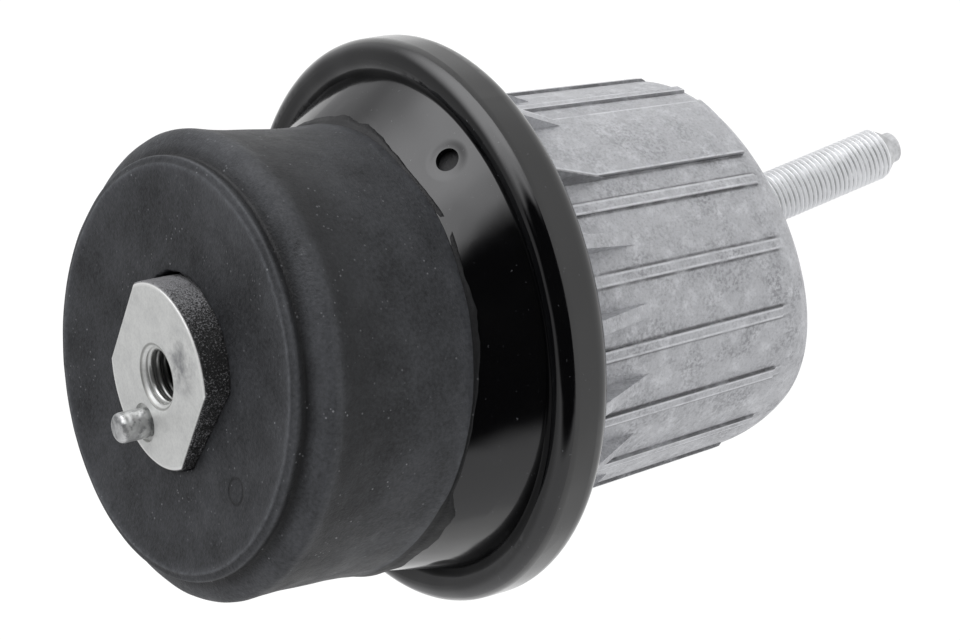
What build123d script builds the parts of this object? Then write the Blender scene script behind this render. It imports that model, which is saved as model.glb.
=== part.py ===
from build123d import *
import os
from math import atan2, cos, degrees, radians, sin, tan

# Engine mount, hydraulic type, all sizes in millimetres.
# The origin is where the main axis meets the flat seat; +Z runs up the main axis to the nose.
# +X is the side the stud leans to, and XZ is the plane of symmetry.

# Clearances
bond_gap = 0.1
nose_gap = 0.4
press_gap = 0.05
slide_gap = 0.3

# Seat and stud
seat_tilt = 14.6
stud_offset = 12.0
stud_radius = 6.0
stud_length = 47.9
stud_root_radius = 5.4
stud_root_depth = 14.0
stud_relief = 1.2
stud_lead_length = 3.4
stud_pilot_radius = 3.6
stud_pilot_length = 2.2
stud_boss_wall = 7.0
stud_boss_height = 8.0

# Rubber drum, turned about an axis that leans from the main axis.
# Each ring of its side is a step out from the rear edge and a depth behind the face's crest.
drum_tilt = 7.2
drum_radius = 47.6
drum_length = 39.9
drum_face_rise = 9.3
crest_inset = 6.2
face_dish_radius = 26.0
face_dish = 1.3
edge_step = -4.65
edge_depth = 0.5
groove_step = -4.7
groove_depth = 2.9
shoulder_step = -0.7
shoulder_depth = 5.0
bead_step = 0.55
bead_depth = 6.6
upper_step = 0.25
upper_depth = 10.0
waist_step = -0.25
waist_depth = 17.5
lower_step = -0.5
lower_depth = 30.5
spring_wall = 5.1
chamber_wall = 7.5
chamber_rise = 7.0
chamber_corner = 5.0
tip_cover = 4.0
mark_radius = 2.65
mark_width = 0.4
mark_depth = 0.3
mark_x = -5.4
mark_y = -30.1

# Collar, pressed from sheet: each circle lies outside the one before
sheet = 2.5
neck_cover = 0.9
neck_buried = 4.0
neck_rise = 15.84
web_run = 6.3
rim_land = 7.6
rim_bend = 4.0
rim_crown = 1.7
rim_lip = 5.2
vent_radius = 2.5
vent_rise = 4.2
vent_angle = -3.3

# Housing
mouth_height = 83.0
housing_draft = 2.57
housing_wall = 4.0
seat_fillet = 12.5
cup_round = 26.0
cup_drop = 9.0
seat_wall = 9.0
seat_relief = 0.5
seat_relief_depth = 0.8
flange_width = 12.7
flange_thickness = 3.2
rib_pitch = 20.0
rib_first = -22.2
rib_count = 16
rib_width = 2.6
rib_height = 0.65
rib_end_height = 17.0
gusset_first = -12.4
gusset_width = 3.0
gusset_length = 24.8
gusset_reach = 9.4
band_start = -13.7
band_end = 17.0
band_height = 0.6

# Core
nose_stand = 12.2
nose_radius = 19.5
nose_half_width = 16.25
nose_length = 14.6
nose_turn = -3.0
nose_chamfer = 0.5
shoulder_radius = 26.0
shoulder_thickness = 6.0
shoulder_round = 2.0
core_length = 31.0
core_tip_radius = 12.0
core_tip_round = 4.0
bolt_radius = 6.0
bolt_depth = 30.0
bolt_chamfer = 0.8
drill_point_angle = 59.0

# Dowel
dowel_radius = 3.2
dowel_root_radius = 3.0
dowel_offset = 12.95
dowel_rise = 6.5
dowel_step = 0.3
dowel_depth = 10.0
dowel_round = 1.3
dowel_recess_wall = 0.9
dowel_recess_depth = 0.8

# Channel plates, decoupler and diaphragm
plate_flange = 2.0
plate_body_gap = 1.0
plate_body_depth = 11.0
plate_body_round = 1.5
seal_thickness = 0.7
track_wall = 2.0
track_width = 5.6
track_depth = 9.0
track_arc = 320.0
port_inset = 1.5
port_arc = 26.0
cover_gap = 1.2
cover_thickness = 2.4
membrane_wall = 2.7
membrane_thickness = 3.2
membrane_web = 2.0
membrane_bead = 3.0
membrane_seat = 1.0
grille_hole_radius = 2.6
grille_ring_radius = 15.5
grille_inner_ring = 7.8
grille_floor = 3.0
grille_holes_outer = 10
grille_holes_inner = 5
ledge_inset = 0.5
ledge_depth = 3.0
diaphragm_wall = 2.0
diaphragm_bead_width = 2.9
diaphragm_gap = 0.6
diaphragm_roll_drop = 25.5
diaphragm_roll_width = 11.6
diaphragm_roll_round = 4.5
diaphragm_dome_drop = 15.0
diaphragm_dome_slope = 5.5

# Radii that follow, from the drum out to the rim and back in to the housing
draft = tan(radians(housing_draft))
neck_radius = drum_radius - neck_cover
neck_inner_radius = neck_radius - sheet
crease_radius = neck_radius + web_run
web_inner_radius = crease_radius - sheet
rim_radius = crease_radius + rim_land
rim_inner_radius = rim_radius - sheet
lip_radius = rim_radius - rim_lip
pack_radius = rim_inner_radius - slide_gap
mouth_radius = pack_radius - flange_width
ledge_radius = mouth_radius - ledge_inset
chamber_mouth_radius = web_inner_radius - chamber_wall

# Heights that follow, from the housing's mouth up to the nose
flange_under = mouth_height - flange_thickness
ledge_height = mouth_height - ledge_depth
rim_bottom = flange_under - sheet
plate_top = mouth_height + plate_flange
crease_height = plate_top + seal_thickness + sheet
rim_top_height = crease_height + rim_crown
neck_height = crease_height + neck_rise
drum_pivot_height = neck_height + (drum_length - drum_face_rise) * cos(radians(drum_tilt))
nose_height = drum_pivot_height + nose_stand
shoulder_height = nose_height - nose_length
core_tip_height = shoulder_height - core_length
chamber_top_height = core_tip_height + chamber_rise
shoulder_foot = shoulder_height - shoulder_thickness
cone_slope = (shoulder_radius - core_tip_radius) / (shoulder_foot - core_tip_height)
chamber_top_radius = core_tip_radius + chamber_rise * cone_slope + spring_wall

# Planes and axes
drum_axis = Vector(sin(radians(drum_tilt)), 0, cos(radians(drum_tilt)))
drum_across = Vector(cos(radians(drum_tilt)), 0, -sin(radians(drum_tilt)))
drum_plane = Plane(origin=(0, 0, drum_pivot_height), x_dir=drum_across, z_dir=drum_axis)
drum_profile_plane = Plane(origin=drum_plane.origin, x_dir=drum_across, z_dir=(0, -1, 0))
drum_revolve_axis = Axis(drum_plane.origin, drum_axis)
neck_plane = drum_plane.offset(drum_face_rise - drum_length)
crease_plane = Plane.XY.offset(crease_height)
seat_out = Vector(sin(radians(seat_tilt)), 0, -cos(radians(seat_tilt)))
seat_across = Vector(cos(radians(seat_tilt)), 0, sin(radians(seat_tilt)))
seat_plane = Plane(origin=(0, 0, 0), x_dir=seat_across, z_dir=seat_out)
stud_centre = seat_across * stud_offset
stud_plane = Plane(origin=stud_centre, x_dir=seat_across, z_dir=seat_out)

# Sizes of the rolled rim and of the stud's and dowel's ends
bend_x = rim_radius - rim_bend
bend_z = rim_top_height - rim_bend
crown_run = bend_x - crease_radius
crown_radius = (crown_run**2 + rim_crown**2) / (2 * rim_crown)
crown_z = rim_top_height - crown_radius
crown_angle = degrees(atan2(crown_run, crease_height - crown_z))
sheet_bend = rim_bend - sheet
stud_lead_start = stud_length - stud_pilot_length - stud_lead_length
stud_shoulder = stud_radius - stud_root_radius


def wall_radius(height):
    """Outer radius of the drafted housing at a height on the main axis."""
    return mouth_radius - (mouth_height - height) * draft


def crown_foot(radius):
    """Where a circle about the crown's centre meets the line to the crease."""
    share = radius / crown_radius
    return (bend_x - crown_run * share, crown_z + (crease_height - crown_z) * share)


def on_arc(centre, radius, angle):
    """Point on a circle at an angle in degrees."""
    return (
        centre[0] + radius * cos(radians(angle)),
        centre[1] + radius * sin(radians(angle)),
    )


# Core: a forged cone that the rubber grips, with a two-flat nose standing out of it
with BuildPart() as core:
    with BuildSketch(Plane.XZ) as cone_section:
        with BuildLine():
            Polyline(
                (0, core_tip_height),
                (core_tip_radius, core_tip_height),
                (shoulder_radius, shoulder_foot),
                (shoulder_radius, shoulder_height),
                (0, shoulder_height),
                close=True,
            )
        make_face()
        cone_corners = cone_section.vertices().filter_by(lambda v: v.X > 1)
        fillet(cone_corners.group_by(Axis.Y)[0], core_tip_round)
        fillet(cone_section.vertices().group_by(Axis.X)[-1], shoulder_round)
    revolve(axis=Axis.Z)
    nose_plane = Plane(origin=(0, 0, shoulder_height), z_dir=(0, 0, 1)).rotated((0, 0, nose_turn))
    with BuildSketch(nose_plane):
        Circle(nose_radius)
        Rectangle(2 * nose_radius, 2 * nose_half_width, mode=Mode.INTERSECT)
    extrude(amount=nose_height - shoulder_height)
    nose_top = core.faces().sort_by(Axis.Z)[-1]
    chamfer(nose_top.edges(), nose_chamfer)
    # Tapped hole for the engine bracket's bolt
    with BuildSketch(Plane.XZ):
        with BuildLine():
            Polyline(
                (0, nose_height),
                (bolt_radius + bolt_chamfer, nose_height),
                (bolt_radius, nose_height - bolt_chamfer),
                (bolt_radius, nose_height - bolt_depth),
                (0, nose_height - bolt_depth - bolt_radius / tan(radians(drill_point_angle))),
                close=True,
            )
        make_face()
    revolve(axis=Axis.Z, mode=Mode.SUBTRACT)
    # Hole and shallow recess for the locating dowel
    with BuildSketch(Plane.XY.offset(nose_height)):
        with Locations((-dowel_offset, 0)):
            Circle(dowel_root_radius + press_gap)
    extrude(amount=-dowel_depth, mode=Mode.SUBTRACT)
    with BuildSketch(Plane.XY.offset(nose_height)):
        with Locations((-dowel_offset, 0)):
            Circle(dowel_radius + dowel_recess_wall)
    extrude(amount=-dowel_recess_depth, mode=Mode.SUBTRACT)
core.part.label = "core"

# Dowel: a hardened pin that keys the bracket to the nose, on a thinner pressed root
dowel_profile_plane = Plane(origin=(-dowel_offset, 0, nose_height), x_dir=(1, 0, 0), z_dir=(0, -1, 0))
with BuildPart() as dowel_pin:
    with BuildSketch(dowel_profile_plane):
        with BuildLine():
            Polyline(
                (0, -dowel_depth),
                (dowel_root_radius - 0.5, -dowel_depth),
                (dowel_root_radius, 0.5 - dowel_depth),
                (dowel_root_radius, dowel_step),
                (dowel_radius, dowel_step),
                (dowel_radius, dowel_rise),
                (0, dowel_rise),
                close=True,
            )
        make_face()
    revolve(axis=Axis(dowel_profile_plane.origin, (0, 0, 1)))
    fillet(dowel_pin.edges().sort_by(Axis.Z)[-1], dowel_round)
dowel_pin.part.label = "dowel_pin"

# Room that the core takes in the rubber, with the bond's clearance all round
with BuildPart() as core_room:
    with BuildSketch(Plane.XZ) as room_section:
        with BuildLine():
            Polyline(
                (0, core_tip_height - bond_gap),
                (core_tip_radius + bond_gap, core_tip_height - bond_gap),
                (shoulder_radius + bond_gap, shoulder_foot - bond_gap),
                (shoulder_radius + bond_gap, shoulder_height + bond_gap),
                (0, shoulder_height + bond_gap),
                close=True,
            )
        make_face()
        room_corners = room_section.vertices().filter_by(lambda v: v.X > 1)
        fillet(room_corners.group_by(Axis.Y)[0], core_tip_round)
        fillet(room_section.vertices().group_by(Axis.X)[-1], shoulder_round)
    revolve(axis=Axis.Z)
    with BuildSketch(nose_plane):
        Circle(nose_radius + nose_gap)
        Rectangle(
            2 * (nose_radius + nose_gap), 2 * (nose_half_width + nose_gap), mode=Mode.INTERSECT
        )
    extrude(amount=nose_height - shoulder_height + 10)

# Fluid chamber under the core, a cone with a rounded roof
with BuildPart() as chamber:
    with BuildSketch(Plane.XZ) as chamber_section:
        with BuildLine():
            Polyline(
                (0, plate_top - 5),
                (chamber_mouth_radius, plate_top - 5),
                (chamber_mouth_radius, plate_top + cover_thickness + 1),
                (chamber_top_radius, chamber_top_height),
                (core_tip_radius, core_tip_height - tip_cover),
                (0, core_tip_height - tip_cover),
                close=True,
            )
        make_face()
        roof_corner = chamber_section.vertices().sort_by(Axis.Y)[-1]
        fillet(roof_corner, chamber_corner)
    revolve(axis=Axis.Z)

# Inside of the collar's web, as the rubber sees it
with BuildPart() as web_inside:
    with BuildSketch(crease_plane):
        Circle(web_inner_radius - bond_gap)
    with BuildSketch(neck_plane):
        Circle(neck_inner_radius - bond_gap)
    loft(ruled=True)
    with BuildSketch(crease_plane):
        Circle(web_inner_radius - bond_gap)
    extrude(amount=plate_top - crease_height)

# Slot in the drum that the buried end of the web stands in
with BuildPart() as neck_slot:
    with BuildSketch(neck_plane):
        Circle(neck_radius + bond_gap)
        Circle(neck_inner_radius - bond_gap, mode=Mode.SUBTRACT)
    extrude(amount=neck_buried + bond_gap)

# Rubber spring: the drum, the plug inside the collar and the seal under the rim
with BuildPart() as rubber_spring:
    with BuildSketch(drum_profile_plane) as drum_section:
        with BuildLine():
            rear = drum_face_rise - drum_length
            bead_point = (drum_radius + bead_step, drum_face_rise - bead_depth)
            Polyline(
                (0, rear),
                (0, drum_face_rise - face_dish),
                (face_dish_radius, drum_face_rise - face_dish),
                (drum_radius - crest_inset, drum_face_rise),
                (drum_radius + edge_step, drum_face_rise - edge_depth),
                (drum_radius + groove_step, drum_face_rise - groove_depth),
                (drum_radius + shoulder_step, drum_face_rise - shoulder_depth),
                bead_point,
            )
            Spline(
                bead_point,
                (drum_radius + upper_step, drum_face_rise - upper_depth),
                (drum_radius + waist_step, drum_face_rise - waist_depth),
                (drum_radius + lower_step, drum_face_rise - lower_depth),
                (drum_radius, rear),
            )
            Line((drum_radius, rear), (0, rear))
        make_face()
    revolve(axis=drum_revolve_axis)
    add(neck_slot.part, mode=Mode.SUBTRACT)
    add(web_inside.part)
    # Seal lip that fills the hollow under the collar's rolled rim
    with BuildSketch(Plane.XZ):
        with BuildLine():
            lip_corner_rise = ((sheet_bend - bond_gap) ** 2 - (pack_radius - bend_x) ** 2) ** 0.5
            lip_crown = crown_radius - sheet - bond_gap
            lip_corner = (pack_radius, bend_z + lip_corner_rise)
            lip_top = (bend_x, rim_top_height - sheet - bond_gap)
            Polyline(
                (web_inner_radius - bond_gap, crease_height),
                (web_inner_radius - 1, crease_height),
                (web_inner_radius - 1, plate_top),
                (pack_radius, plate_top),
                lip_corner,
            )
            ThreePointArc(
                lip_corner, on_arc((bend_x, bend_z), sheet_bend - bond_gap, 60), lip_top
            )
            ThreePointArc(
                lip_top,
                on_arc((bend_x, crown_z), lip_crown, 90 + crown_angle / 2),
                crown_foot(lip_crown),
            )
            ThreePointArc(
                crown_foot(lip_crown),
                (crease_radius, crease_height - sheet - bond_gap),
                (web_inner_radius - bond_gap, crease_height),
            )
        make_face()
    revolve(axis=Axis.Z)
    add(chamber.part, mode=Mode.SUBTRACT)
    add(core_room.part, mode=Mode.SUBTRACT)
    with BuildSketch(drum_plane.offset(drum_face_rise)):
        with Locations((mark_x, mark_y)):
            Circle(mark_radius)
            Circle(mark_radius - mark_width, mode=Mode.SUBTRACT)
    extrude(amount=-face_dish - mark_depth, mode=Mode.SUBTRACT)
rubber_spring.part.label = "rubber_spring"

# Collar: pressed sheet, a leaning cone from the neck to the crease, then a rolled and crimped rim
with BuildPart() as web_hollow:
    with BuildSketch(crease_plane):
        Circle(web_inner_radius)
    with BuildSketch(neck_plane):
        Circle(neck_inner_radius)
    loft(ruled=True)

with BuildPart() as collar:
    with BuildSketch(crease_plane):
        Circle(crease_radius)
    with BuildSketch(neck_plane):
        Circle(neck_radius)
    loft(ruled=True)
    add(web_hollow.part, mode=Mode.SUBTRACT)
    with BuildSketch(neck_plane):
        Circle(neck_radius)
        Circle(neck_inner_radius, mode=Mode.SUBTRACT)
    extrude(amount=neck_buried)
    with BuildSketch(Plane.XZ):
        with BuildLine():
            inner_crown = crown_radius - sheet
            inner_top = (bend_x, rim_top_height - sheet)
            crown_top = (bend_x, rim_top_height)
            rim_shoulder = (rim_radius, bend_z)
            lower_bend_z = rim_bottom + rim_bend
            Line((web_inner_radius, crease_height), (crease_radius, crease_height))
            ThreePointArc(
                (crease_radius, crease_height),
                on_arc((bend_x, crown_z), crown_radius, 90 + crown_angle / 2),
                crown_top,
            )
            ThreePointArc(crown_top, on_arc((bend_x, bend_z), rim_bend, 45), rim_shoulder)
            Line(rim_shoulder, (rim_radius, lower_bend_z))
            ThreePointArc(
                (rim_radius, lower_bend_z),
                on_arc((bend_x, lower_bend_z), rim_bend, -45),
                (bend_x, rim_bottom),
            )
            Polyline(
                (bend_x, rim_bottom),
                (lip_radius, rim_bottom),
                (lip_radius, flange_under),
                (bend_x, flange_under),
            )
            ThreePointArc(
                (bend_x, flange_under),
                on_arc((bend_x, lower_bend_z), sheet_bend, -45),
                (rim_inner_radius, lower_bend_z),
            )
            Line((rim_inner_radius, lower_bend_z), (rim_inner_radius, bend_z))
            ThreePointArc(
                (rim_inner_radius, bend_z), on_arc((bend_x, bend_z), sheet_bend, 45), inner_top
            )
            ThreePointArc(
                inner_top,
                on_arc((bend_x, crown_z), inner_crown, 90 + crown_angle / 2),
                crown_foot(inner_crown),
            )
            ThreePointArc(
                crown_foot(inner_crown),
                (crease_radius, crease_height - sheet),
                (web_inner_radius, crease_height),
            )
        make_face()
    revolve(axis=Axis.Z)
    # Small round hole through the web, square to its slope
    vent_foot = Vector(
        crease_radius * cos(radians(vent_angle)),
        crease_radius * sin(radians(vent_angle)),
        crease_height,
    )
    vent_head = neck_plane.from_local_coords(
        (neck_radius * cos(radians(vent_angle)), neck_radius * sin(radians(vent_angle)), 0)
    )
    vent_line = vent_head - vent_foot
    vent_round = Vector(-sin(radians(vent_angle)), cos(radians(vent_angle)), 0)
    vent_centre = vent_foot + vent_line * (vent_rise / vent_line.Z)
    vent_plane = Plane(origin=vent_centre, x_dir=vent_round, z_dir=vent_round.cross(vent_line))
    with BuildSketch(vent_plane.offset(sheet)):
        Circle(vent_radius)
    extrude(amount=-3 * sheet, mode=Mode.SUBTRACT)
collar.part.label = "collar"

# Hollow of the housing, drafted like the outside, with its floor square to the stud
floor_plane = seat_plane.offset(-seat_wall)
hollow_foot = housing_wall - cup_drop
with BuildPart() as housing_hollow:
    with BuildSketch(Plane.XZ) as hollow_section:
        with BuildLine():
            Polyline(
                (0, hollow_foot),
                (wall_radius(hollow_foot) - housing_wall, hollow_foot),
                (mouth_radius - housing_wall, mouth_height),
                (0, mouth_height),
                close=True,
            )
        make_face()
        hollow_corner = hollow_section.vertices().filter_by(lambda v: v.X > 1).sort_by(Axis.Y)[0]
        fillet(hollow_corner, cup_round - housing_wall)
    revolve(axis=Axis.Z)
    split(bisect_by=floor_plane, keep=Keep.BOTTOM)
    floor_face = housing_hollow.faces().filter_by(floor_plane)
    fillet(floor_face.edges(), seat_fillet - housing_wall)

# One long rib and one gusset, in the plane through the main axis
with BuildPart() as rib:
    with BuildSketch(Plane.XZ):
        with BuildLine():
            Polyline(
                (wall_radius(rib_end_height) - housing_wall / 2, rib_end_height),
                (wall_radius(rib_end_height), rib_end_height),
                (wall_radius(rib_end_height) + rib_height, rib_end_height + 1.5 * rib_height),
                (wall_radius(flange_under) + rib_height, flange_under),
                (wall_radius(flange_under) - housing_wall / 2, flange_under),
                close=True,
            )
        make_face()
    extrude(amount=rib_width / 2, both=True)

gusset_foot = flange_under - gusset_length
with BuildPart() as gusset:
    with BuildSketch(Plane.XZ):
        with BuildLine():
            Polyline(
                (wall_radius(gusset_foot) - housing_wall / 2, gusset_foot),
                (wall_radius(gusset_foot), gusset_foot),
                (wall_radius(flange_under) + gusset_reach, flange_under),
                (wall_radius(flange_under) - housing_wall / 2, flange_under),
                close=True,
            )
        make_face()
    extrude(amount=gusset_width / 2, both=True)

# Housing: die-cast cup with a round foot cut by the slanted seat, ribs, gussets and a flange
with BuildPart() as housing:
    with BuildSketch(Plane.XZ) as cup_section:
        with BuildLine():
            Polyline(
                (0, -cup_drop),
                (wall_radius(-cup_drop), -cup_drop),
                (mouth_radius, mouth_height),
                (0, mouth_height),
                close=True,
            )
        make_face()
        cup_corner = cup_section.vertices().filter_by(lambda v: v.X > 1).sort_by(Axis.Y)[0]
        fillet(cup_corner, cup_round)
    revolve(axis=Axis.Z)
    split(bisect_by=seat_plane, keep=Keep.BOTTOM)
    seat_face = housing.faces().filter_by(seat_plane)
    fillet(seat_face.edges(), seat_fillet)
    with PolarLocations(
        0, rib_count, start_angle=rib_first, angular_range=-rib_pitch * rib_count
    ):
        add(rib.part)
    # Raised smooth band down the side the stud leans to
    with BuildSketch(Plane.XZ.rotated((0, 0, band_start))):
        with BuildLine():
            Polyline(
                (wall_radius(rib_end_height) - housing_wall / 2, rib_end_height),
                (wall_radius(rib_end_height), rib_end_height),
                (wall_radius(rib_end_height) + band_height, rib_end_height + 2 * band_height),
                (wall_radius(flange_under) + band_height, flange_under),
                (wall_radius(flange_under) - housing_wall / 2, flange_under),
                close=True,
            )
        make_face()
    revolve(axis=Axis.Z, revolution_arc=band_end - band_start)
    with PolarLocations(0, round(360 / rib_pitch), start_angle=gusset_first):
        add(gusset.part)
    # Flange, with its lower corner rounded to lie in the rim's bend
    with BuildSketch(Plane.XZ) as flange_section:
        with BuildLine():
            Polyline(
                (mouth_radius - housing_wall, flange_under),
                (pack_radius, flange_under),
                (pack_radius, mouth_height),
                (mouth_radius - housing_wall, mouth_height),
                close=True,
            )
        make_face()
        flange_corner = flange_section.vertices().group_by(Axis.X)[-1].sort_by(Axis.Y)[0]
        fillet(flange_corner, sheet_bend + slide_gap)
    revolve(axis=Axis.Z)
    add(housing_hollow.part, mode=Mode.SUBTRACT)
    with BuildSketch(Plane.XY.offset(ledge_height)):
        Circle(ledge_radius)
    extrude(amount=ledge_depth, mode=Mode.SUBTRACT)
    with BuildSketch(floor_plane):
        with Locations((stud_offset, 0)):
            Circle(stud_root_radius + stud_boss_wall)
    extrude(amount=-stud_boss_height)
    with BuildSketch(stud_plane):
        Circle(stud_root_radius + press_gap)
    extrude(amount=-stud_root_depth, mode=Mode.SUBTRACT)
    with BuildSketch(stud_plane):
        Circle(stud_radius + seat_relief)
    extrude(amount=-seat_relief_depth, mode=Mode.SUBTRACT)
housing.part.label = "housing"

# Stud: set in the housing's boss by a thinner root, with a tapered lead and a plain pilot point
stud_profile_plane = Plane(origin=stud_centre, x_dir=seat_across, z_dir=(0, 1, 0))
with BuildPart() as stud:
    with BuildSketch(stud_profile_plane):
        with BuildLine():
            Polyline(
                (0, -stud_root_depth),
                (stud_root_radius - 1, -stud_root_depth),
                (stud_root_radius, 1 - stud_root_depth),
                (stud_root_radius, stud_relief),
                (stud_radius, stud_relief + stud_shoulder),
                (stud_radius, stud_lead_start),
                (stud_pilot_radius, stud_lead_start + stud_lead_length),
                (stud_pilot_radius - 0.6, stud_length),
                (0, stud_length),
                close=True,
            )
        make_face()
    revolve(axis=Axis(stud_centre, seat_out))
stud.part.label = "stud"

# Lower channel plate: carries the ring-shaped fluid track and the decoupler's seat
sleeve_radius = wall_radius(ledge_height - diaphragm_roll_drop) - housing_wall - diaphragm_gap
sleeve_inner = sleeve_radius - diaphragm_wall
plate_body_radius = sleeve_inner - plate_body_gap
track_outer_radius = plate_body_radius - track_wall
track_inner_radius = track_outer_radius - track_width
recess_radius = track_inner_radius - membrane_wall
membrane_radius = recess_radius - slide_gap
plate_bowl_radius = membrane_radius - membrane_seat
cover_radius = chamber_mouth_radius - cover_gap
recess_floor = plate_top - membrane_thickness - slide_gap
track_plane = Plane.XY.offset(plate_top - track_depth)
body_bottom = mouth_height - plate_body_depth
with BuildPart() as lower_channel_plate:
    with BuildSketch(Plane.XY.offset(mouth_height)):
        Circle(pack_radius)
    extrude(amount=plate_flange)
    with BuildSketch(Plane.XY.offset(body_bottom)):
        Circle(plate_body_radius)
    extrude(amount=plate_body_depth)
    bottom_edge = lower_channel_plate.edges().filter_by(GeomType.CIRCLE).sort_by(Axis.Z)[0]
    fillet(bottom_edge, plate_body_round)
    with BuildSketch(Plane.XY.offset(recess_floor)):
        Circle(recess_radius)
    extrude(amount=plate_top - recess_floor, mode=Mode.SUBTRACT)
    with BuildSketch(Plane.XY.offset(body_bottom)):
        Circle(plate_bowl_radius)
    extrude(amount=recess_floor - grille_floor - body_bottom, mode=Mode.SUBTRACT)
    with BuildSketch(Plane.XZ):
        with BuildLine():
            Polyline(
                (track_inner_radius, plate_top - track_depth),
                (track_outer_radius, plate_top - track_depth),
                (track_outer_radius, plate_top),
                (track_inner_radius, plate_top),
                close=True,
            )
        make_face()
    revolve(axis=Axis.Z, revolution_arc=track_arc, mode=Mode.SUBTRACT)
    with BuildSketch(Plane.XZ):
        with BuildLine():
            Polyline(
                (track_inner_radius, body_bottom),
                (track_outer_radius - port_inset, body_bottom),
                (track_outer_radius - port_inset, plate_top - track_depth),
                (track_inner_radius, plate_top - track_depth),
                close=True,
            )
        make_face()
    revolve(axis=Axis.Z, revolution_arc=port_arc, mode=Mode.SUBTRACT)
    with BuildSketch(Plane.XY.offset(recess_floor)):
        with PolarLocations(grille_ring_radius, grille_holes_outer):
            Circle(grille_hole_radius)
        with PolarLocations(grille_inner_ring, grille_holes_inner):
            Circle(grille_hole_radius)
    extrude(amount=-grille_floor, mode=Mode.SUBTRACT)
lower_channel_plate.part.label = "lower_channel_plate"

# Upper channel plate: lid over the track and the decoupler, with the matching holes
port_plane = Plane.XZ.rotated((0, 0, track_arc - port_arc))
with BuildPart() as upper_channel_plate:
    with BuildSketch(Plane.XY.offset(plate_top)):
        Circle(cover_radius)
        with PolarLocations(grille_ring_radius, grille_holes_outer):
            Circle(grille_hole_radius, mode=Mode.SUBTRACT)
        with PolarLocations(grille_inner_ring, grille_holes_inner):
            Circle(grille_hole_radius, mode=Mode.SUBTRACT)
    extrude(amount=cover_thickness)
    with BuildSketch(port_plane):
        with BuildLine():
            Polyline(
                (track_inner_radius, plate_top),
                (track_outer_radius, plate_top),
                (track_outer_radius, plate_top + cover_thickness),
                (track_inner_radius, plate_top + cover_thickness),
                close=True,
            )
        make_face()
    revolve(axis=Axis.Z, revolution_arc=port_arc, mode=Mode.SUBTRACT)
    outer_edges = upper_channel_plate.edges().filter_by(GeomType.CIRCLE).sort_by(SortBy.RADIUS)
    chamfer(outer_edges[-2:], 0.5)
upper_channel_plate.part.label = "upper_channel_plate"

# Decoupler membrane: a loose rubber disc with a thick edge, between the two plates
with BuildPart() as decoupler_membrane:
    with BuildSketch(Plane.XY.offset(recess_floor)):
        Circle(membrane_radius)
    extrude(amount=membrane_thickness)
    hollow_depth = (membrane_thickness - membrane_web) / 2
    with BuildSketch(Plane.XY.offset(recess_floor + membrane_thickness)):
        Circle(membrane_radius - membrane_bead)
    extrude(amount=-hollow_depth, taper=30, mode=Mode.SUBTRACT)
    with BuildSketch(Plane.XY.offset(recess_floor)):
        Circle(membrane_radius - membrane_bead)
    extrude(amount=hollow_depth, taper=30, mode=Mode.SUBTRACT)
decoupler_membrane.part.label = "decoupler_membrane"

# Diaphragm: a rolling rubber bellows hung by its bead between housing and lower plate
bead_outer = ledge_radius - bond_gap
bead_inner = bead_outer - diaphragm_bead_width
roll_height = ledge_height - diaphragm_roll_drop
roll_inner = sleeve_radius - diaphragm_roll_width
dome_height = ledge_height - diaphragm_dome_drop
dome_top = dome_height + diaphragm_wall
dome_radius = roll_inner - diaphragm_dome_slope
with BuildPart() as diaphragm:
    with BuildSketch(Plane.XZ) as diaphragm_section:
        with BuildLine():
            Polyline(
                (0, dome_height),
                (dome_radius, dome_height),
                (roll_inner, roll_height),
                (sleeve_radius, roll_height),
                (sleeve_radius, ledge_height),
                (bead_outer, ledge_height),
                (bead_outer, mouth_height),
                (bead_inner, mouth_height),
                (bead_inner, ledge_height + diaphragm_wall),
                (sleeve_inner, ledge_height + diaphragm_wall),
                (sleeve_inner, roll_height + diaphragm_wall),
                (roll_inner + 1.5, roll_height + diaphragm_wall),
                (dome_radius + 1.5, dome_top),
                (0, dome_top),
                close=True,
            )
        make_face()
        roll_corners = diaphragm_section.vertices().filter_by(
            lambda v: abs(v.Y - roll_height) < 0.01
        )
        fillet(roll_corners, diaphragm_roll_round)
        roll_hollows = diaphragm_section.vertices().filter_by(
            lambda v: abs(v.Y - roll_height - diaphragm_wall) < 0.01
        )
        fillet(roll_hollows, diaphragm_roll_round - diaphragm_wall)
    revolve(axis=Axis.Z)
diaphragm.part.label = "diaphragm"

pieces = [
    core,
    dowel_pin,
    rubber_spring,
    collar,
    housing,
    stud,
    lower_channel_plate,
    upper_channel_plate,
    decoupler_membrane,
    diaphragm,
]
os.makedirs("parts", exist_ok=True)
for piece in pieces:
    export_step(piece.part, "parts/" + piece.part.label + ".step")
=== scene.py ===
import math
from functools import partial

import bmesh
import bpy
from bpy.props import FloatProperty, FloatVectorProperty, PointerProperty
from mathutils import Matrix, Vector, noise


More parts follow.
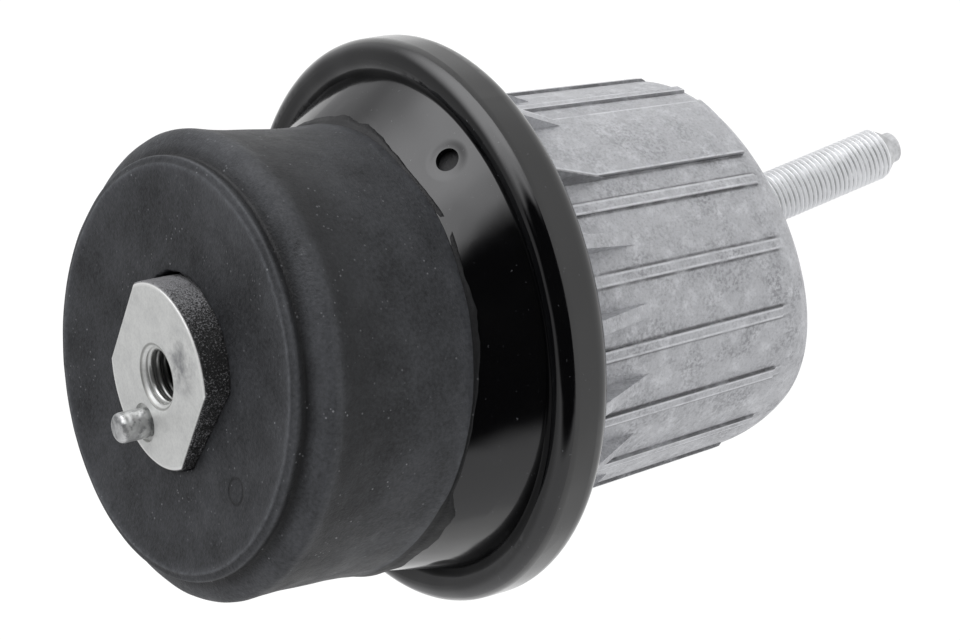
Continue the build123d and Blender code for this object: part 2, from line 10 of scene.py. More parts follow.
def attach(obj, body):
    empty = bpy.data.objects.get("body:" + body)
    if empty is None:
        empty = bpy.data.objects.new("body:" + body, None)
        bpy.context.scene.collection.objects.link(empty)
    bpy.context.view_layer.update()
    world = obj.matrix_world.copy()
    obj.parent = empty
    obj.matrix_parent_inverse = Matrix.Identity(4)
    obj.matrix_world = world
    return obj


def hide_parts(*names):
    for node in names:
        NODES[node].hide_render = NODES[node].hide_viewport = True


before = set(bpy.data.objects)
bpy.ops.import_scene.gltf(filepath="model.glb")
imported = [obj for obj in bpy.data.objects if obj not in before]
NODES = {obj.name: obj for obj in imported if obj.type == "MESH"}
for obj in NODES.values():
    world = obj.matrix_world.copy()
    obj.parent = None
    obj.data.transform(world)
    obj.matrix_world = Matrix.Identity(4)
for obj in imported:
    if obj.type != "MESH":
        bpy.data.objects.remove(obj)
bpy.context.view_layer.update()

bl_info = {
    "name": "Engine mount dressing",
    "version": (1, 0, 0),
    "blender": (4, 5, 0),
    "location": "3D View > Sidebar > Engine Mount",
    "description": "Dresses the engine mount's frame with its rubber, metals, threads and studio",
    "category": "Object",
}

MM = 0.001

# The photograph's camera, rolled because the mount lies on its side: place and axes in metres,
# lens and sensor in millimetres
CAMERA_LENS = 105
CAMERA_SENSOR = 36
CAMERA_PLACE = Vector((0.37900443, -0.33478726, 0.40016290))
CAMERA_RIGHT = Vector((0.26068387, -0.51651372, -0.81563319))
CAMERA_UP = Vector((0.73189614, 0.65667984, -0.18193304))
CAMERA_BACK = Vector((0.62958079, -0.54953177, 0.54922023))

# Where the stud leaves the seat, and how far it leans
SEAT_TILT = math.radians(14.6)
STUD_PLACE = Vector((12 * math.cos(SEAT_TILT), 0, 12 * math.sin(SEAT_TILT))) * MM

# Middle of the mount, which the softbox faces from a distance, and the softbox's sides, in metres
MOUNT_MIDDLE = Vector((0, 0, 0.07))
SOFTBOX_DISTANCE = 0.7
SOFTBOX_SIDES = (0.42, 1.0)

# Nose of the core: height of its face, radius, half width over its flats and their turn, and how
# far the dowel stands off the axis, in millimetres
NOSE_FACE = 146.6
NOSE_RADIUS = 19.5
NOSE_FLAT = 16.25
NOSE_TURN = math.radians(-3.0)
DOWEL_OFFSET = 12.95

# Cup's drafted wall: its radius at a height, and how much it narrows per millimetre down
WALL_RADIUS = 45.1
WALL_HEIGHT = 83.0
WALL_DRAFT = 0.0449

# Ribs of the cup, its smooth land and the rib beside it: angles in degrees, height in millimetres
RIB_FIRST = -22.2
RIB_PITCH = 20
LAND_START = -13.7
LAND_END = 9.5
SIDE_RIB_START = 16.25
SIDE_RIB_END = 19.35
LAND_HEIGHT = 1.15

# Hollows in the collar's sheet: centre, radius of the flat middle, depth and outer radius,
# in millimetres
COLLAR_HOLLOWS = (
    ((48.4, -2.9, 92.4), 2.3, 0.3, 4.8),
    ((-26.6, -41.0, 94.4), 0.8, 0.35, 4.6),
)

# The stud's outline: height above the seat and radius, in millimetres
THREAD_RADIUS = 6.0
STUD_PROFILE = (
    (-14.0, 0.0),
    (-13.8, 4.4),
    (-13.0, 5.4),
    (-0.2, 5.4),
    (0.1, 6.0),
    (42.3, 6.0),
    (45.7, 3.6),
    (47.2, 3.55),
    (47.7, 3.1),
    (47.9, 0.0),
)
STUD_START = STUD_PROFILE[0][0]
STUD_LENGTH = STUD_PROFILE[-1][0] - STUD_START

# Middle of the rubber drum's face, and how far the face's crest stands above it
DRUM_PIVOT = (0, 0, 134.4)
DRUM_RISE = 9.3

# Front of the rubber drum, over its crest, groove and bead: radius, depth under the crest,
# how much the rubber there is painted pale, partly rubbed and partly a painted highlight,
# and how much painted shade darkens it
DRUM_FRONT = (
    (29.0, 1.12, 0, 0),
    (32.0, 0.86, 0, 0),
    (35.0, 0.6, 0, 0),
    (38.0, 0.36, 0.05, 0),
    (40.0, 0.19, 0.15, 0),
    (40.9, 0.05, 0.5, 0),
    (41.3, -0.06, 0.95, 0),
    (41.55, 0.0, 0.7, 0),
    (41.8, 0.2, 0.15, 0.15),
    (42.3, 0.34, 0.1, 0),
    (42.75, 0.42, 0.25, 0),
    (43.05, 0.6, 0.45, 0),
    (43.15, 0.9, 0.15, 0.1),
    (43.1, 1.5, 0, 0.5),
    (42.95, 2.2, 0, 0.8),
    (42.95, 2.7, 0, 0.9),
    (43.3, 3.0, 0, 0.7),
    (44.1, 3.3, 0, 0.35),
    (45.3, 3.9, 0.15, 0),
    (46.4, 4.5, 0.25, 0),
    (47.2, 5.1, 0.25, 0),
    (47.8, 5.8, 0.2, 0),
    (48.1, 6.5, 0.2, 0),
    (48.15, 7.3, 0.1, 0),
    (48.0, 8.6, 0, 0.5),
    (47.8, 10.2, 0, 0.62),
)

# Rear edge of the rubber drum by angle: depth of the edge, reach and flare of its moulding flash
REAR_EDGE = (
    (-180, 39.9, 0.6, 0.0),
    (-140, 38.4, 1.2, 0.2),
    (-121, 36.6, 3.0, 0.4),
    (-109, 36.9, 3.4, 0.7),
    (-97, 37.6, 3.6, 1.1),
    (-90, 38.0, 3.2, 1.3),
    (-85, 38.7, 0.7, 0.1),
    (-73, 39.3, 0.5, 0.1),
    (-60, 39.7, 0.6, 0.3),
    (-48, 39.9, 0.8, 0.9),
    (-39, 40.1, 0.9, 1.2),
    (-30, 39.9, 0.5, 0.6),
    (-17, 40.2, 0.8, 0.9),
    (-9, 39.9, 0.5, 0.5),
    (3, 39.2, 0.4, 0.3),
    (12, 39.7, 0.9, 0.8),
    (22, 40.0, 1.5, 1.6),
    (30, 40.0, 1.8, 2.0),
    (45, 39.9, 1.2, 1.2),
    (58, 39.9, 0.6, 0.3),
    (64, 39.9, 2.0, 2.0),
    (72, 39.9, 1.6, 1.8),
    (80, 39.9, 0.5, 0.2),
    (180, 39.9, 0.6, 0.0),
)

# Angles of the drum's mesh columns, and how far along its side each ring lies
DRUM_COLUMNS = 240
DRUM_ANGLES = [2 * math.pi * k / DRUM_COLUMNS - math.pi for k in range(DRUM_COLUMNS)]
SIDE_SHARES = [k / 14 for k in range(1, 15)]
BEAD_END = 10.2


def linear(text):
    """sRGB hex to the linear colour that Blender's sockets take."""
    values = [int(text[i : i + 2], 16) / 255 for i in (1, 3, 5)]
    return [v / 12.92 if v <= 0.04045 else ((v + 0.055) / 1.055) ** 2.4 for v in values] + [1.0]


def colour_setting(name, text, description):
    """A colour that the user can change."""
    return FloatVectorProperty(
        name=name, description=description, subtype="COLOR", size=4, min=0, max=1, default=linear(text)
    )


def length_setting(name, millimetres, description):
    """A length that the user can change."""
    return FloatProperty(
        name=name, description=description, default=millimetres * MM, precision=5, unit="LENGTH"
    )


MATH = "ShaderNodeMath"
VECTOR = "ShaderNodeVectorMath"
RANGE = "ShaderNodeMapRange"
MIX = "ShaderNodeMix"


def add_node(tree, kind, inputs=None, output=0, **settings):
    """Adds one node with its settings; an input given as a socket is linked, any other is set."""
    made = tree.nodes.new(kind)
    for key, value in settings.items():
        setattr(made, key, value)
    for key, value in (inputs or {}).items():
        if isinstance(value, bpy.types.NodeSocket):
            tree.links.new(value, made.inputs[key])
        else:
            made.inputs[key].default_value = value
    return made.outputs[output] if made.outputs else made


def start_material(name):
    """An empty node material; returns it, its adder of nodes and the object's own coordinates."""
    material = bpy.data.materials.new(name)
    material.use_nodes = True
    material.node_tree.nodes.clear()
    add = partial(add_node, material.node_tree)
    return material, add, add("ShaderNodeTexCoord", output="Object")


def mottle(add, place, size_mm, low, high, detail=3.0, offset=(0.0, 0.0, 0.0)):
    """Patches about size_mm wide, stretched so that noise from low to high becomes 0 to 1."""
    moved = add("ShaderNodeMapping", {"Vector": place, "Location": offset})
    wide = {"Vector": moved, "Scale": 1 / (size_mm * MM), "Detail": detail, "Roughness": 0.6}
    grain = add("ShaderNodeTexNoise", wide)
    return add(RANGE, {"Value": grain, "From Min": low, "From Max": high})


def line(add, value, centre, half):
    """1 where a value is at centre, fading to 0 at half away from it."""
    off = add(MATH, {0: add(MATH, {0: value, 1: centre}, operation="SUBTRACT")}, operation="ABSOLUTE")
    return add(RANGE, {"Value": off, "From Min": half, "From Max": half * 0.3})


def distance_from_axis(add, place, centre_mm, axis):
    """Distance from the line that runs through a centre along an axis, in metres."""
    centre = tuple(v * MM for v in centre_mm)
    from_centre = add(VECTOR, {0: place, 1: centre}, operation="SUBTRACT")
    beside = add(VECTOR, {0: from_centre, 1: axis}, operation="CROSS_PRODUCT")
    return add(VECTOR, {0: beside}, "Value", operation="LENGTH")


def dress(node, material):
    """Gives a CAD node's object its material."""
    data = NODES[node].data
    data.materials.clear()
    data.materials.append(material)


def new_piece(name, data, material, slot, *replaced):
    """Puts a finished mesh in the scene as a piece that rides on the mount."""
    piece = bpy.data.objects.new(name, data)
    bpy.context.scene.collection.objects.link(piece)
    data.materials.clear()
    data.materials.append(material)
    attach(piece, "root")
    if replaced:
        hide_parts(*replaced)


def run_tree(name, tree, values):
    """Runs a geometry node tree on an empty object and returns the result as a plain mesh."""
    carrier = bpy.data.objects.new(name, bpy.data.meshes.new(name))
    bpy.context.scene.collection.objects.link(carrier)
    modifier = carrier.modifiers.new(name, "NODES")
    modifier.node_group = tree
    for item in tree.interface.items_tree:
        if item.item_type == "SOCKET" and item.in_out == "INPUT":
            modifier[item.identifier] = values[item.name]
    seen = carrier.evaluated_get(bpy.context.evaluated_depsgraph_get())
    result = bpy.data.meshes.new_from_object(seen)
    carrier.modifiers.remove(modifier)
    bpy.data.objects.remove(carrier)
    result.name = name
    if len(result.polygons) == 0:
        raise RuntimeError(name + " came out empty")
    return result


def start_tree(name, sockets):
    """A geometry node tree with named inputs; returns it, its adder of nodes and the inputs."""
    tree = bpy.data.node_groups.new(name, "GeometryNodeTree")
    tree.interface.new_socket("Geometry", in_out="OUTPUT", socket_type="NodeSocketGeometry")
    for label, kind in sockets:
        tree.interface.new_socket(label, in_out="INPUT", socket_type="NodeSocket" + kind)
    given = tree.nodes.new("NodeGroupInput").outputs
    return tree, partial(add_node, tree), given


def end_tree(add, geometry, material):
    """Ends a tree in real geometry with its material."""
    real = add("GeometryNodeRealizeInstances", {0: geometry})
    add("NodeGroupOutput", {0: add("GeometryNodeSetMaterial", {0: real, "Material": material})})


# Settings


class MOUNT_PG_core(bpy.types.PropertyGroup):
    """Nose, its thread and the dowel"""

    face: colour_setting("Machined face", "#DFE0DD", "Colour of the bare machined face")
    smudge: colour_setting("Smudge", "#8E8F90", "Colour of the rubbed marks on the face")
    film: colour_setting("Rubber film", "#121212", "Colour of the dark film on the nose's side")
    grit: colour_setting("Grit", "#8C8C8E", "Colour of the metal that shows through the film")
    hole_radius: length_setting("Hole radius", 6.0, "Outer radius of the tapped hole's thread")
    hole_pitch: length_setting("Hole pitch", 1.75, "Pitch of the tapped hole's thread")
    hole_depth: length_setting("Hole depth", 28.0, "How deep the thread runs")


class MOUNT_PG_rubber(bpy.types.PropertyGroup):
    """Rubber drum"""

    body: colour_setting("Rubber", "#121315", "Colour of the clean rubber")
    # This colour also paints the highlight on the drum's crest, bead and rear lip
    dust_and_highlight: colour_setting("Dust", "#66686C", "Colour of the dusty bloom on the rubber")
    fleck: colour_setting("Fleck", "#B9BBBE", "Colour of the pale flecks")
    tilt: FloatProperty(
        name="Tilt", description="Lean of the drum", default=math.radians(7.2), subtype="ANGLE"
    )
    radius: length_setting("Radius", 47.6, "Radius of the drum at its rear edge")
    unevenness: length_setting("Unevenness", 0.12, "Height of the drum's slow waves")


class MOUNT_PG_collar(bpy.types.PropertyGroup):
    """Pressed collar"""

    enamel: colour_setting("Enamel", "#030304", "Colour of the gloss coat")
    ripple: length_setting("Ripple", 0.05, "Height of the pressed sheet's slow ripples")


class MOUNT_PG_housing(bpy.types.PropertyGroup):
    """Cast housing"""

    cast: colour_setting("Casting", "#B8B9BC", "Main colour of the die-cast skin")
    pale: colour_setting("Pale patches", "#CFD0D3", "Colour of the bright patches")
    # This colour also paints the shade on the cup's -Y side and darkens it towards its foot
    stain_and_shade: colour_setting("Stain", "#77777A", "Colour of the dark mottling")
    patch_size: length_setting("Patch size", 8.0, "Width of the mottled patches")


class MOUNT_PG_stud(bpy.types.PropertyGroup):
    """Threaded stud"""

    zinc: colour_setting("Zinc", "#F4F5F6", "Colour of the bright plating")
    # Colour that the thread's root is painted darker with
    root_darkening: colour_setting("Grime", "#4E4F51", "Colour of the dirt at the thread's root")
    crest: length_setting("Crest radius", THREAD_RADIUS, "Outer radius of the thread")
    root: length_setting("Root radius", 5.3, "Radius at the bottom of the thread")
    pitch: length_setting("Pitch", 1.25, "Pitch of the thread")


class MOUNT_PG_studio(bpy.types.PropertyGroup):
    """Floor, softbox and room"""

    floor: colour_setting("Floor", "#F4F4F4", "Colour of the floor")
    floor_drop: length_setting("Floor drop", 300.0, "How far the floor lies under the seat")
    room: FloatProperty(name="Room", description="Strength of the room's light", default=0.85, min=0)
    banner: FloatProperty(
        name="Banner", description="Strength of the mirrored banner", default=2.8, min=0
    )
    key: FloatProperty(name="Key", description="Power of the softbox", default=0.9, min=0, unit="POWER")


# Materials


def machined_aluminium(settings):
    """Bare turned face, pale and softly glossy; its sides keep a dark gritty moulding film."""
    material, add, place = start_material("machined_aluminium")
    y, z = [add("ShaderNodeSeparateXYZ", {0: place}, i) for i in (1, 2)]
    reach = distance_from_axis(add, place, (0, 0, 0), (0, 0, 1))
    in_hole = add(RANGE, {"Value": reach, "From Min": 7.3 * MM, "From Max": 7.0 * MM})
    on_face = add(RANGE, {"Value": z, "From Min": 146.3 * MM, "From Max": 146.5 * MM})
    by_pin = distance_from_axis(add, place, (-DOWEL_OFFSET, 0, 0), (0, 0, 1))
    at_pin = add(MATH, {0: by_pin, 1: 4.3 * MM}, operation="LESS_THAN")
    on_top = add(MATH, {0: on_face, 1: at_pin}, operation="MAXIMUM")
    bare = add(MATH, {0: in_hole, 1: on_top}, operation="MAXIMUM")
    # A rubbed smudge 16 mm across beside the hole, streaks of 4 mm and a grain of 0.6 mm on the face
    off = add(VECTOR, {0: place, 1: (9.5 * MM, -6.5 * MM, NOSE_FACE * MM)}, "Value", operation="DISTANCE")
    near = {"Value": off, "From Min": 8 * MM, "From Max": 1 * MM, "To Min": 0.2, "To Max": 1.3}
    spot = add(RANGE, near)
    streak = mottle(add, place, 4, 0.4, 0.72, 5.0)
    smudge = add(MATH, {0: spot, 1: streak}, operation="MULTIPLY")
    grain = add(MATH, {0: mottle(add, place, 0.6, 0.4, 0.75, 5.0), 1: 0.2}, operation="MULTIPLY")
    smudge = add(MATH, {0: smudge, 1: grain}, operation="ADD", use_clamp=True)
    face = add(MIX, {0: smudge, 6: settings.face, 7: settings.smudge}, 2, data_type="RGBA")
    # A painted highlight runs as a pale line along the outline, and the hole's rim keeps a dark line
    rim = line(add, reach, 19.1 * MM, 0.7 * MM)
    rim = add(MATH, {0: rim, 1: 0.7}, operation="MULTIPLY")
    face = add(MIX, {0: rim, 6: face, 7: linear("#F6F6F4")}, 2, data_type="RGBA")
    lip = add(MATH, {0: line(add, reach, 6.75 * MM, 0.35 * MM), 1: 0.6}, operation="MULTIPLY")
    face = add(MIX, {0: lip, 6: face, 7: linear("#55554F")}, 2, data_type="RGBA")
    # Grit of 0.35 mm shows through the film; more of it towards +Y paints the side that faces the light
    # lighter, as painted light
    side = add(RANGE, {"Value": y, "From Min": -10 * MM, "From Max": 9 * MM, "To Max": 0.58})
    flat = add(RANGE, {"Value": y, "From Min": -14 * MM, "From Max": -16 * MM, "To Max": 0.1})
    share = add(MATH, {0: side, 1: flat}, operation="ADD")
    fine = add(MATH, {0: mottle(add, place, 0.35, 0.25, 0.75, 4.0), 1: share}, operation="ADD")
    wide = add(MATH, {0: mottle(add, place, 3, 0.3, 0.7), 1: 0.18}, operation="MULTIPLY")
    speck = add(MATH, {0: fine, 1: wide}, operation="ADD")
    grit = add(RANGE, {"Value": speck, "From Min": 0.72, "From Max": 1.1})
    film = add(MIX, {0: grit, 6: settings.film, 7: settings.grit}, 2, data_type="RGBA")
    rough_side = add(MATH, {0: 1.12, 1: bare}, operation="SUBTRACT")
    relief = add(MATH, {0: mottle(add, place, 0.7, 0.3, 0.7), 1: rough_side}, operation="MULTIPLY")
    metallic = add(MATH, {0: bare, 1: 0.4}, operation="MULTIPLY")
    gloss = add(RANGE, {"Value": bare, "To Min": 0.7, "To Max": 0.4})
    colour = add(MIX, {0: bare, 6: film, 7: face}, 2, data_type="RGBA")
    # Painted shade: the hole's wall is painted darker the deeper it goes
    deep = add(RANGE, {"Value": z, "From Min": 146 * MM, "From Max": 140 * MM})
    inside = add(MATH, {0: deep, 1: in_hole}, operation="MULTIPLY")
    colour = add(MIX, {0: inside, 6: colour, 7: linear("#363635")}, 2, data_type="RGBA")
    normal = add("ShaderNodeBump", {"Height": relief, "Distance": 0.14 * MM})
    sockets = {"Base Color": colour, "Metallic": metallic, "Roughness": gloss, "Normal": normal}
    add("ShaderNodeOutputMaterial", {0: add("ShaderNodeBsdfPrincipled", sockets)})
    return material


def cut_thread_aluminium(settings):
    """Freshly cut thread: bright crests, with painted shade that darkens it as it goes down the hole."""
    material, add, place = start_material("cut_thread_aluminium")
    z = add("ShaderNodeSeparateXYZ", {0: place}, 2)
    deep = add(RANGE, {"Value": z, "From Min": 146 * MM, "From Max": 141 * MM, "To Max": 0.95})
    colour = add(MIX, {0: deep, 6: settings.face, 7: linear("#2C2C2B")}, 2, data_type="RGBA")
    sockets = {"Base Color": colour, "Metallic": 0.9, "Roughness": 0.34}
    add("ShaderNodeOutputMaterial", {0: add("ShaderNodeBsdfPrincipled", sockets)})
    return material


def ground_pin_steel(settings):
    """Ground dowel rubbed by handling: satin, with small dull spots and a bruised end."""
    material, add, place = start_material("ground_pin_steel")
    spots = add(MATH, {0: mottle(add, place, 1.3, 0.5, 0.66), 1: 0.75}, operation="MULTIPLY")
    wear = mottle(add, place, 4.5, 0.35, 0.65)
    clean = add(MIX, {0: wear, 6: linear("#A6A7A7"), 7: linear("#DADBDA")}, 2, data_type="RGBA")
    colour = add(MIX, {0: spots, 6: clean, 7: linear("#77787A")}, 2, data_type="RGBA")
    gloss = add(RANGE, {"Value": wear, "To Min": 0.3, "To Max": 0.5})
    bruise = mottle(add, place, 2.6, 0.3, 0.7, 1.0)
    normal = add("ShaderNodeBump", {"Height": bruise, "Distance": 0.22 * MM})
    sockets = {"Base Color": colour, "Metallic": 0.8, "Roughness": gloss, "Normal": normal}
    add("ShaderNodeOutputMaterial", {0: add("ShaderNodeBsdfPrincipled", sockets)})
    return material


def moulded_rubber(settings):
    """Moulded natural rubber: matt, with a grey bloom, pale flecks, edges painted pale, partly rubbed and
    partly a painted highlight, and painted shade in its hollows.
    """
    material, add, place = start_material("moulded_rubber")
    axis, across = drum_axes(settings.tilt)
    # Bloom: broad clouds of 16 mm, and a grain of 0.8 mm
    clouds = add(MATH, {0: mottle(add, place, 16, 0.35, 0.7), 1: 0.22}, operation="MULTIPLY")
    grain = add(MATH, {0: mottle(add, place, 0.8, 0.3, 0.75, 5.0), 1: 0.24}, operation="MULTIPLY")
    bloom = add(MATH, {0: clouds, 1: grain}, operation="ADD")
    body = add(MIX, {0: bloom, 6: settings.body, 7: settings.dust_and_highlight}, 2, data_type="RGBA")
    # Fine scuffs: long thin streaks 0.5 mm wide in two directions
    for turn in ((0.3, 0.2, 0.9), (1.2, -0.5, 2.2)):
        laid = {"Vector": place, "Rotation": turn, "Scale": (1, 9, 1)}
        streak = mottle(add, add("ShaderNodeMapping", laid), 4, 0.68, 0.8, 4.0)
        scuff = add(MATH, {0: streak, 1: 0.35}, operation="MULTIPLY")
        body = add(MIX, {0: scuff, 6: body, 7: settings.dust_and_highlight}, 2, data_type="RGBA")
    # Edges painted pale, partly rubbed and partly a painted highlight; painted shade darkens the groove,
    # the waist behind the bead and the flash
    wear = add("ShaderNodeAttribute", output="Fac", attribute_name="wear")
    rubbed = add(MATH, {0: wear, 1: mottle(add, place, 1.2, 0.15, 0.85, 4.0)}, operation="MULTIPLY")
    body = add(MIX, {0: rubbed, 6: body, 7: settings.dust_and_highlight}, 2, data_type="RGBA")
    # Painted shade, ring by ring: it darkens the groove, the waist behind the bead, the flash and the
    # slot
    painted_shade = add("ShaderNodeAttribute", output="Fac", attribute_name="painted_shade")
    body = add(MIX, {0: painted_shade, 6: body, 7: linear("#0B0B0C")}, 2, data_type="RGBA")
    # Flecks about 0.4 mm wide, strewn in loose clouds
    spread = {"Vector": place, "Scale": 1 / (1.5 * MM)}
    cell = add("ShaderNodeTexVoronoi", spread, "Distance")
    dot = add(RANGE, {"Value": cell, "From Min": 0.17, "From Max": 0.1})
    strewn = mottle(add, place, 7, 0.5, 0.68, offset=(0.03, 0.01, 0.02))
    fleck = add(MATH, {0: dot, 1: strewn}, operation="MULTIPLY")
    fleck = add(MATH, {0: fleck, 1: 0.4}, operation="MULTIPLY")
    body = add(MIX, {0: fleck, 6: body, 7: settings.fleck}, 2, data_type="RGBA")
    # Round mark of an ejector pin, 5.3 mm across: its sunk ring is painted dark as shade
    centre = (Vector(DRUM_PIVOT) + axis * 8.2 + across * -5.4 + Vector((0, -30.1, 0))) * MM
    off = add(VECTOR, {0: place, 1: tuple(centre)}, "Value", operation="DISTANCE")
    ring = line(add, off, 2.65 * MM, 0.5 * MM)
    ejector_ring_shade = add(MATH, {0: ring, 1: 0.6}, operation="MULTIPLY")
    body = add(MIX, {0: ejector_ring_shade, 6: body, 7: linear("#0B0B0C")}, 2, data_type="RGBA")
    low = add(MATH, {0: mottle(add, place, 3.0, 0.3, 0.7), 1: 1.5}, operation="MULTIPLY")
    relief = add(MATH, {0: mottle(add, place, 0.5, 0.3, 0.7), 1: low}, operation="ADD")
    sunk = add(MATH, {0: ring, 1: 4}, operation="MULTIPLY")
    relief = add(MATH, {0: relief, 1: sunk}, operation="SUBTRACT")
    normal = add("ShaderNodeBump", {"Height": relief, "Distance": 0.05 * MM})
    gloss = add(RANGE, {"Value": mottle(add, place, 5, 0.3, 0.7), "To Min": 0.5, "To Max": 0.62})
    sockets = {"Base Color": body, "Roughness": gloss, "IOR": 1.5, "Normal": normal}
    sockets["Specular IOR Level"] = 0.32
    add("ShaderNodeOutputMaterial", {0: add("ShaderNodeBsdfPrincipled", sockets)})
    return material


def plain_rubber():
    """Smooth moulded rubber inside the mount: dark, even and matt."""
    material, add, place = start_material("plain_moulded_rubber")
    grain = mottle(add, place, 1.0, 0.3, 0.7)
    colour = add(MIX, {0: grain, 6: linear("#1C1D1E"), 7: linear("#2C2D2F")}, 2, data_type="RGBA")
    normal = add("ShaderNodeBump", {"Height": grain, "Distance": 0.03 * MM})
    sockets = {"Base Color": colour, "Roughness": 0.6, "IOR": 1.5, "Normal": normal}
    add("ShaderNodeOutputMaterial", {0: add("ShaderNodeBsdfPrincipled", sockets)})
    return material


def gloss_enamel(settings):
    """Black enamel baked on pressed steel: mirror-like, over a slightly rippled sheet."""
    material, add, place = start_material("black_enamel")
    ripple = mottle(add, place, 22, 0.3, 0.7, 1.0)
    normal = add("ShaderNodeBump", {"Height": ripple, "Distance": settings.ripple * 6})
    # The sheet is drawn in beside the vent hole, and dented low on the web
    for centre, flat, depth, wide in COLLAR_HOLLOWS:
        spot = tuple(v * MM for v in centre)
        off = add(VECTOR, {0: place, 1: spot}, "Value", operation="DISTANCE")
        hollow = {"Value": off, "From Min": flat * MM, "From Max": wide * MM}
        shape = add(RANGE, hollow, interpolation_type="SMOOTHSTEP")
        normal = add("ShaderNodeBump", {"Height": shape, "Distance": depth * MM, "Normal": normal})
    flecks = add(MATH, {0: mottle(add, place, 0.8, 0.7, 0.76), 1: 0.5}, operation="MULTIPLY")
    colour = add(MIX, {0: flecks, 6: settings.enamel, 7: linear("#77797C")}, 2, data_type="RGBA")
    gloss = add(RANGE, {"Value": mottle(add, place, 12, 0.4, 0.75), "To Min": 0.1, "To Max": 0.2})
    sockets = {"Base Color": colour, "Roughness": gloss, "IOR": 1.6, "Normal": normal}
    add("ShaderNodeOutputMaterial", {0: add("ShaderNodeBsdfPrincipled", sockets)})
    return material


def die_cast_aluminium(settings):
    """Raw die-cast skin: pale satin metal, mottled where the alloy chilled, with painted shade on its -Y
    side and beside its ribs, and a painted highlight on the ribs' edges.
    """
    material, add, place = start_material("die_cast_aluminium")
    x, y, z = [add("ShaderNodeSeparateXYZ", {0: place}, i) for i in range(3)]
    patch = settings.patch_size / MM
    broad = mottle(add, place, patch, 0.4, 0.64, 4.0)
    fine = mottle(add, place, 0.8, 0.46, 0.58, 6.0, (0.01, 0.02, 0.0))
    # The mottling thickens towards the foot, and on the side that faces -Y, away from the light, as
    # painted shade
    low = add(RANGE, {"Value": z, "From Min": 85 * MM, "From Max": 30 * MM, "To Min": 0.7})
    lower_side_shade = add(RANGE, {"Value": y, "From Min": 25 * MM, "From Max": -30 * MM, "To Min": 0.45})
    shade = add(MATH, {0: low, 1: lower_side_shade}, operation="MULTIPLY")
    stain_and_shade = add(MATH, {0: broad, 1: fine}, operation="MULTIPLY")
    stain_and_shade = add(MATH, {0: stain_and_shade, 1: shade}, operation="MULTIPLY")
    stain_and_shade = add(MATH, {0: stain_and_shade, 1: 0.58}, operation="MULTIPLY")
    pale = mottle(add, place, 3.5, 0.48, 0.72, 4.0, (0.0, 0.05, 0.02))
    body = add(MIX, {0: pale, 6: settings.cast, 7: settings.pale}, 2, data_type="RGBA")
    grain = add(MATH, {0: mottle(add, place, 0.6, 0.5, 0.8, 4.0), 1: 0.5}, operation="MULTIPLY")
    body = add(MIX, {0: grain, 6: body, 7: settings.stain_and_shade}, 2, data_type="RGBA")
    body = add(MIX, {0: stain_and_shade, 6: body, 7: settings.stain_and_shade}, 2, data_type="RGBA")
    # Distance along the wall from the nearest rib's or land's edge: below 0 on the raised side
    angle = add(MATH, {0: y, 1: x}, operation="ARCTAN2")
    first = add(MATH, {0: angle, 1: math.radians(-RIB_FIRST)}, operation="ADD")
    turn = {0: first, 1: math.radians(RIB_PITCH / 2), 2: math.radians(-RIB_PITCH / 2)}
    from_rib = add(MATH, {0: add(MATH, turn, operation="WRAP")}, operation="ABSOLUTE")
    rib = add(MATH, {0: from_rib, 1: math.radians(1.55)}, operation="SUBTRACT")
    middle, half_width = (LAND_START + LAND_END) / 2, (LAND_END - LAND_START) / 2
    from_land = add(MATH, {0: angle, 1: math.radians(middle)}, operation="SUBTRACT")
    from_land = add(MATH, {0: from_land}, operation="ABSOLUTE")
    land = add(MATH, {0: from_land, 1: math.radians(half_width)}, operation="SUBTRACT")
    is_rib = add(MATH, {0: from_land, 1: math.radians(16)}, operation="GREATER_THAN")
    edge = add(MIX, {0: is_rib, 2: land, 3: rib}, 0)
    edge = add(MATH, {0: edge, 1: 48 * MM}, operation="MULTIPLY")
    on_wall = add(RANGE, {"Value": z, "From Min": 15 * MM, "From Max": 18 * MM})
    patchy = mottle(add, place, 6, 0.25, 0.55, 3.0)
    # Painted shade as a dark line just off each rib's and the land's edge, and a painted highlight as a
    # pale line along the edge
    for centre, half, much, colour in ((0.3, 0.55, 0.75, "#5B5B5C"), (-0.3, 0.35, 0.6, "#E6E7EA")):
        rib_shade_and_highlight = add(MATH, {0: line(add, edge, centre * MM, half * MM), 1: on_wall}, operation="MULTIPLY")
        rib_shade_and_highlight = add(MATH, {0: rib_shade_and_highlight, 1: patchy}, operation="MULTIPLY")
        rib_shade_and_highlight = add(MATH, {0: rib_shade_and_highlight, 1: much}, operation="MULTIPLY")
        body = add(MIX, {0: rib_shade_and_highlight, 6: body, 7: linear(colour)}, 2, data_type="RGBA")
    waves = add(MATH, {0: mottle(add, place, 5, 0.3, 0.7), 1: 1.5}, operation="MULTIPLY")
    relief = add(MATH, {0: mottle(add, place, 0.7, 0.35, 0.7, 4.0), 1: waves}, operation="ADD")
    normal = add("ShaderNodeBump", {"Height": relief, "Distance": 0.09 * MM})
    gloss = add(RANGE, {"Value": broad, "To Min": 0.42, "To Max": 0.56})
    sockets = {"Base Color": body, "Metallic": 0.3, "Roughness": gloss, "Normal": normal}
    add("ShaderNodeOutputMaterial", {0: add("ShaderNodeBsdfPrincipled", sockets)})
    return material


def cast_plate():
    """Die-cast plates inside the mount: clean, even satin metal."""
    material, add, place = start_material("clean_die_cast")
    grain = mottle(add, place, 1.5, 0.3, 0.7)
    colour = add(MIX, {0: grain, 6: linear("#A5A6A8"), 7: linear("#B9BABC")}, 2, data_type="RGBA")
    normal = add("ShaderNodeBump", {"Height": grain, "Distance": 0.02 * MM})
    sockets = {"Base Color": colour, "Metallic": 0.8, "Roughness": 0.4, "Normal": normal}
    add("ShaderNodeOutputMaterial", {0: add("ShaderNodeBsdfPrincipled", sockets)})
    return material


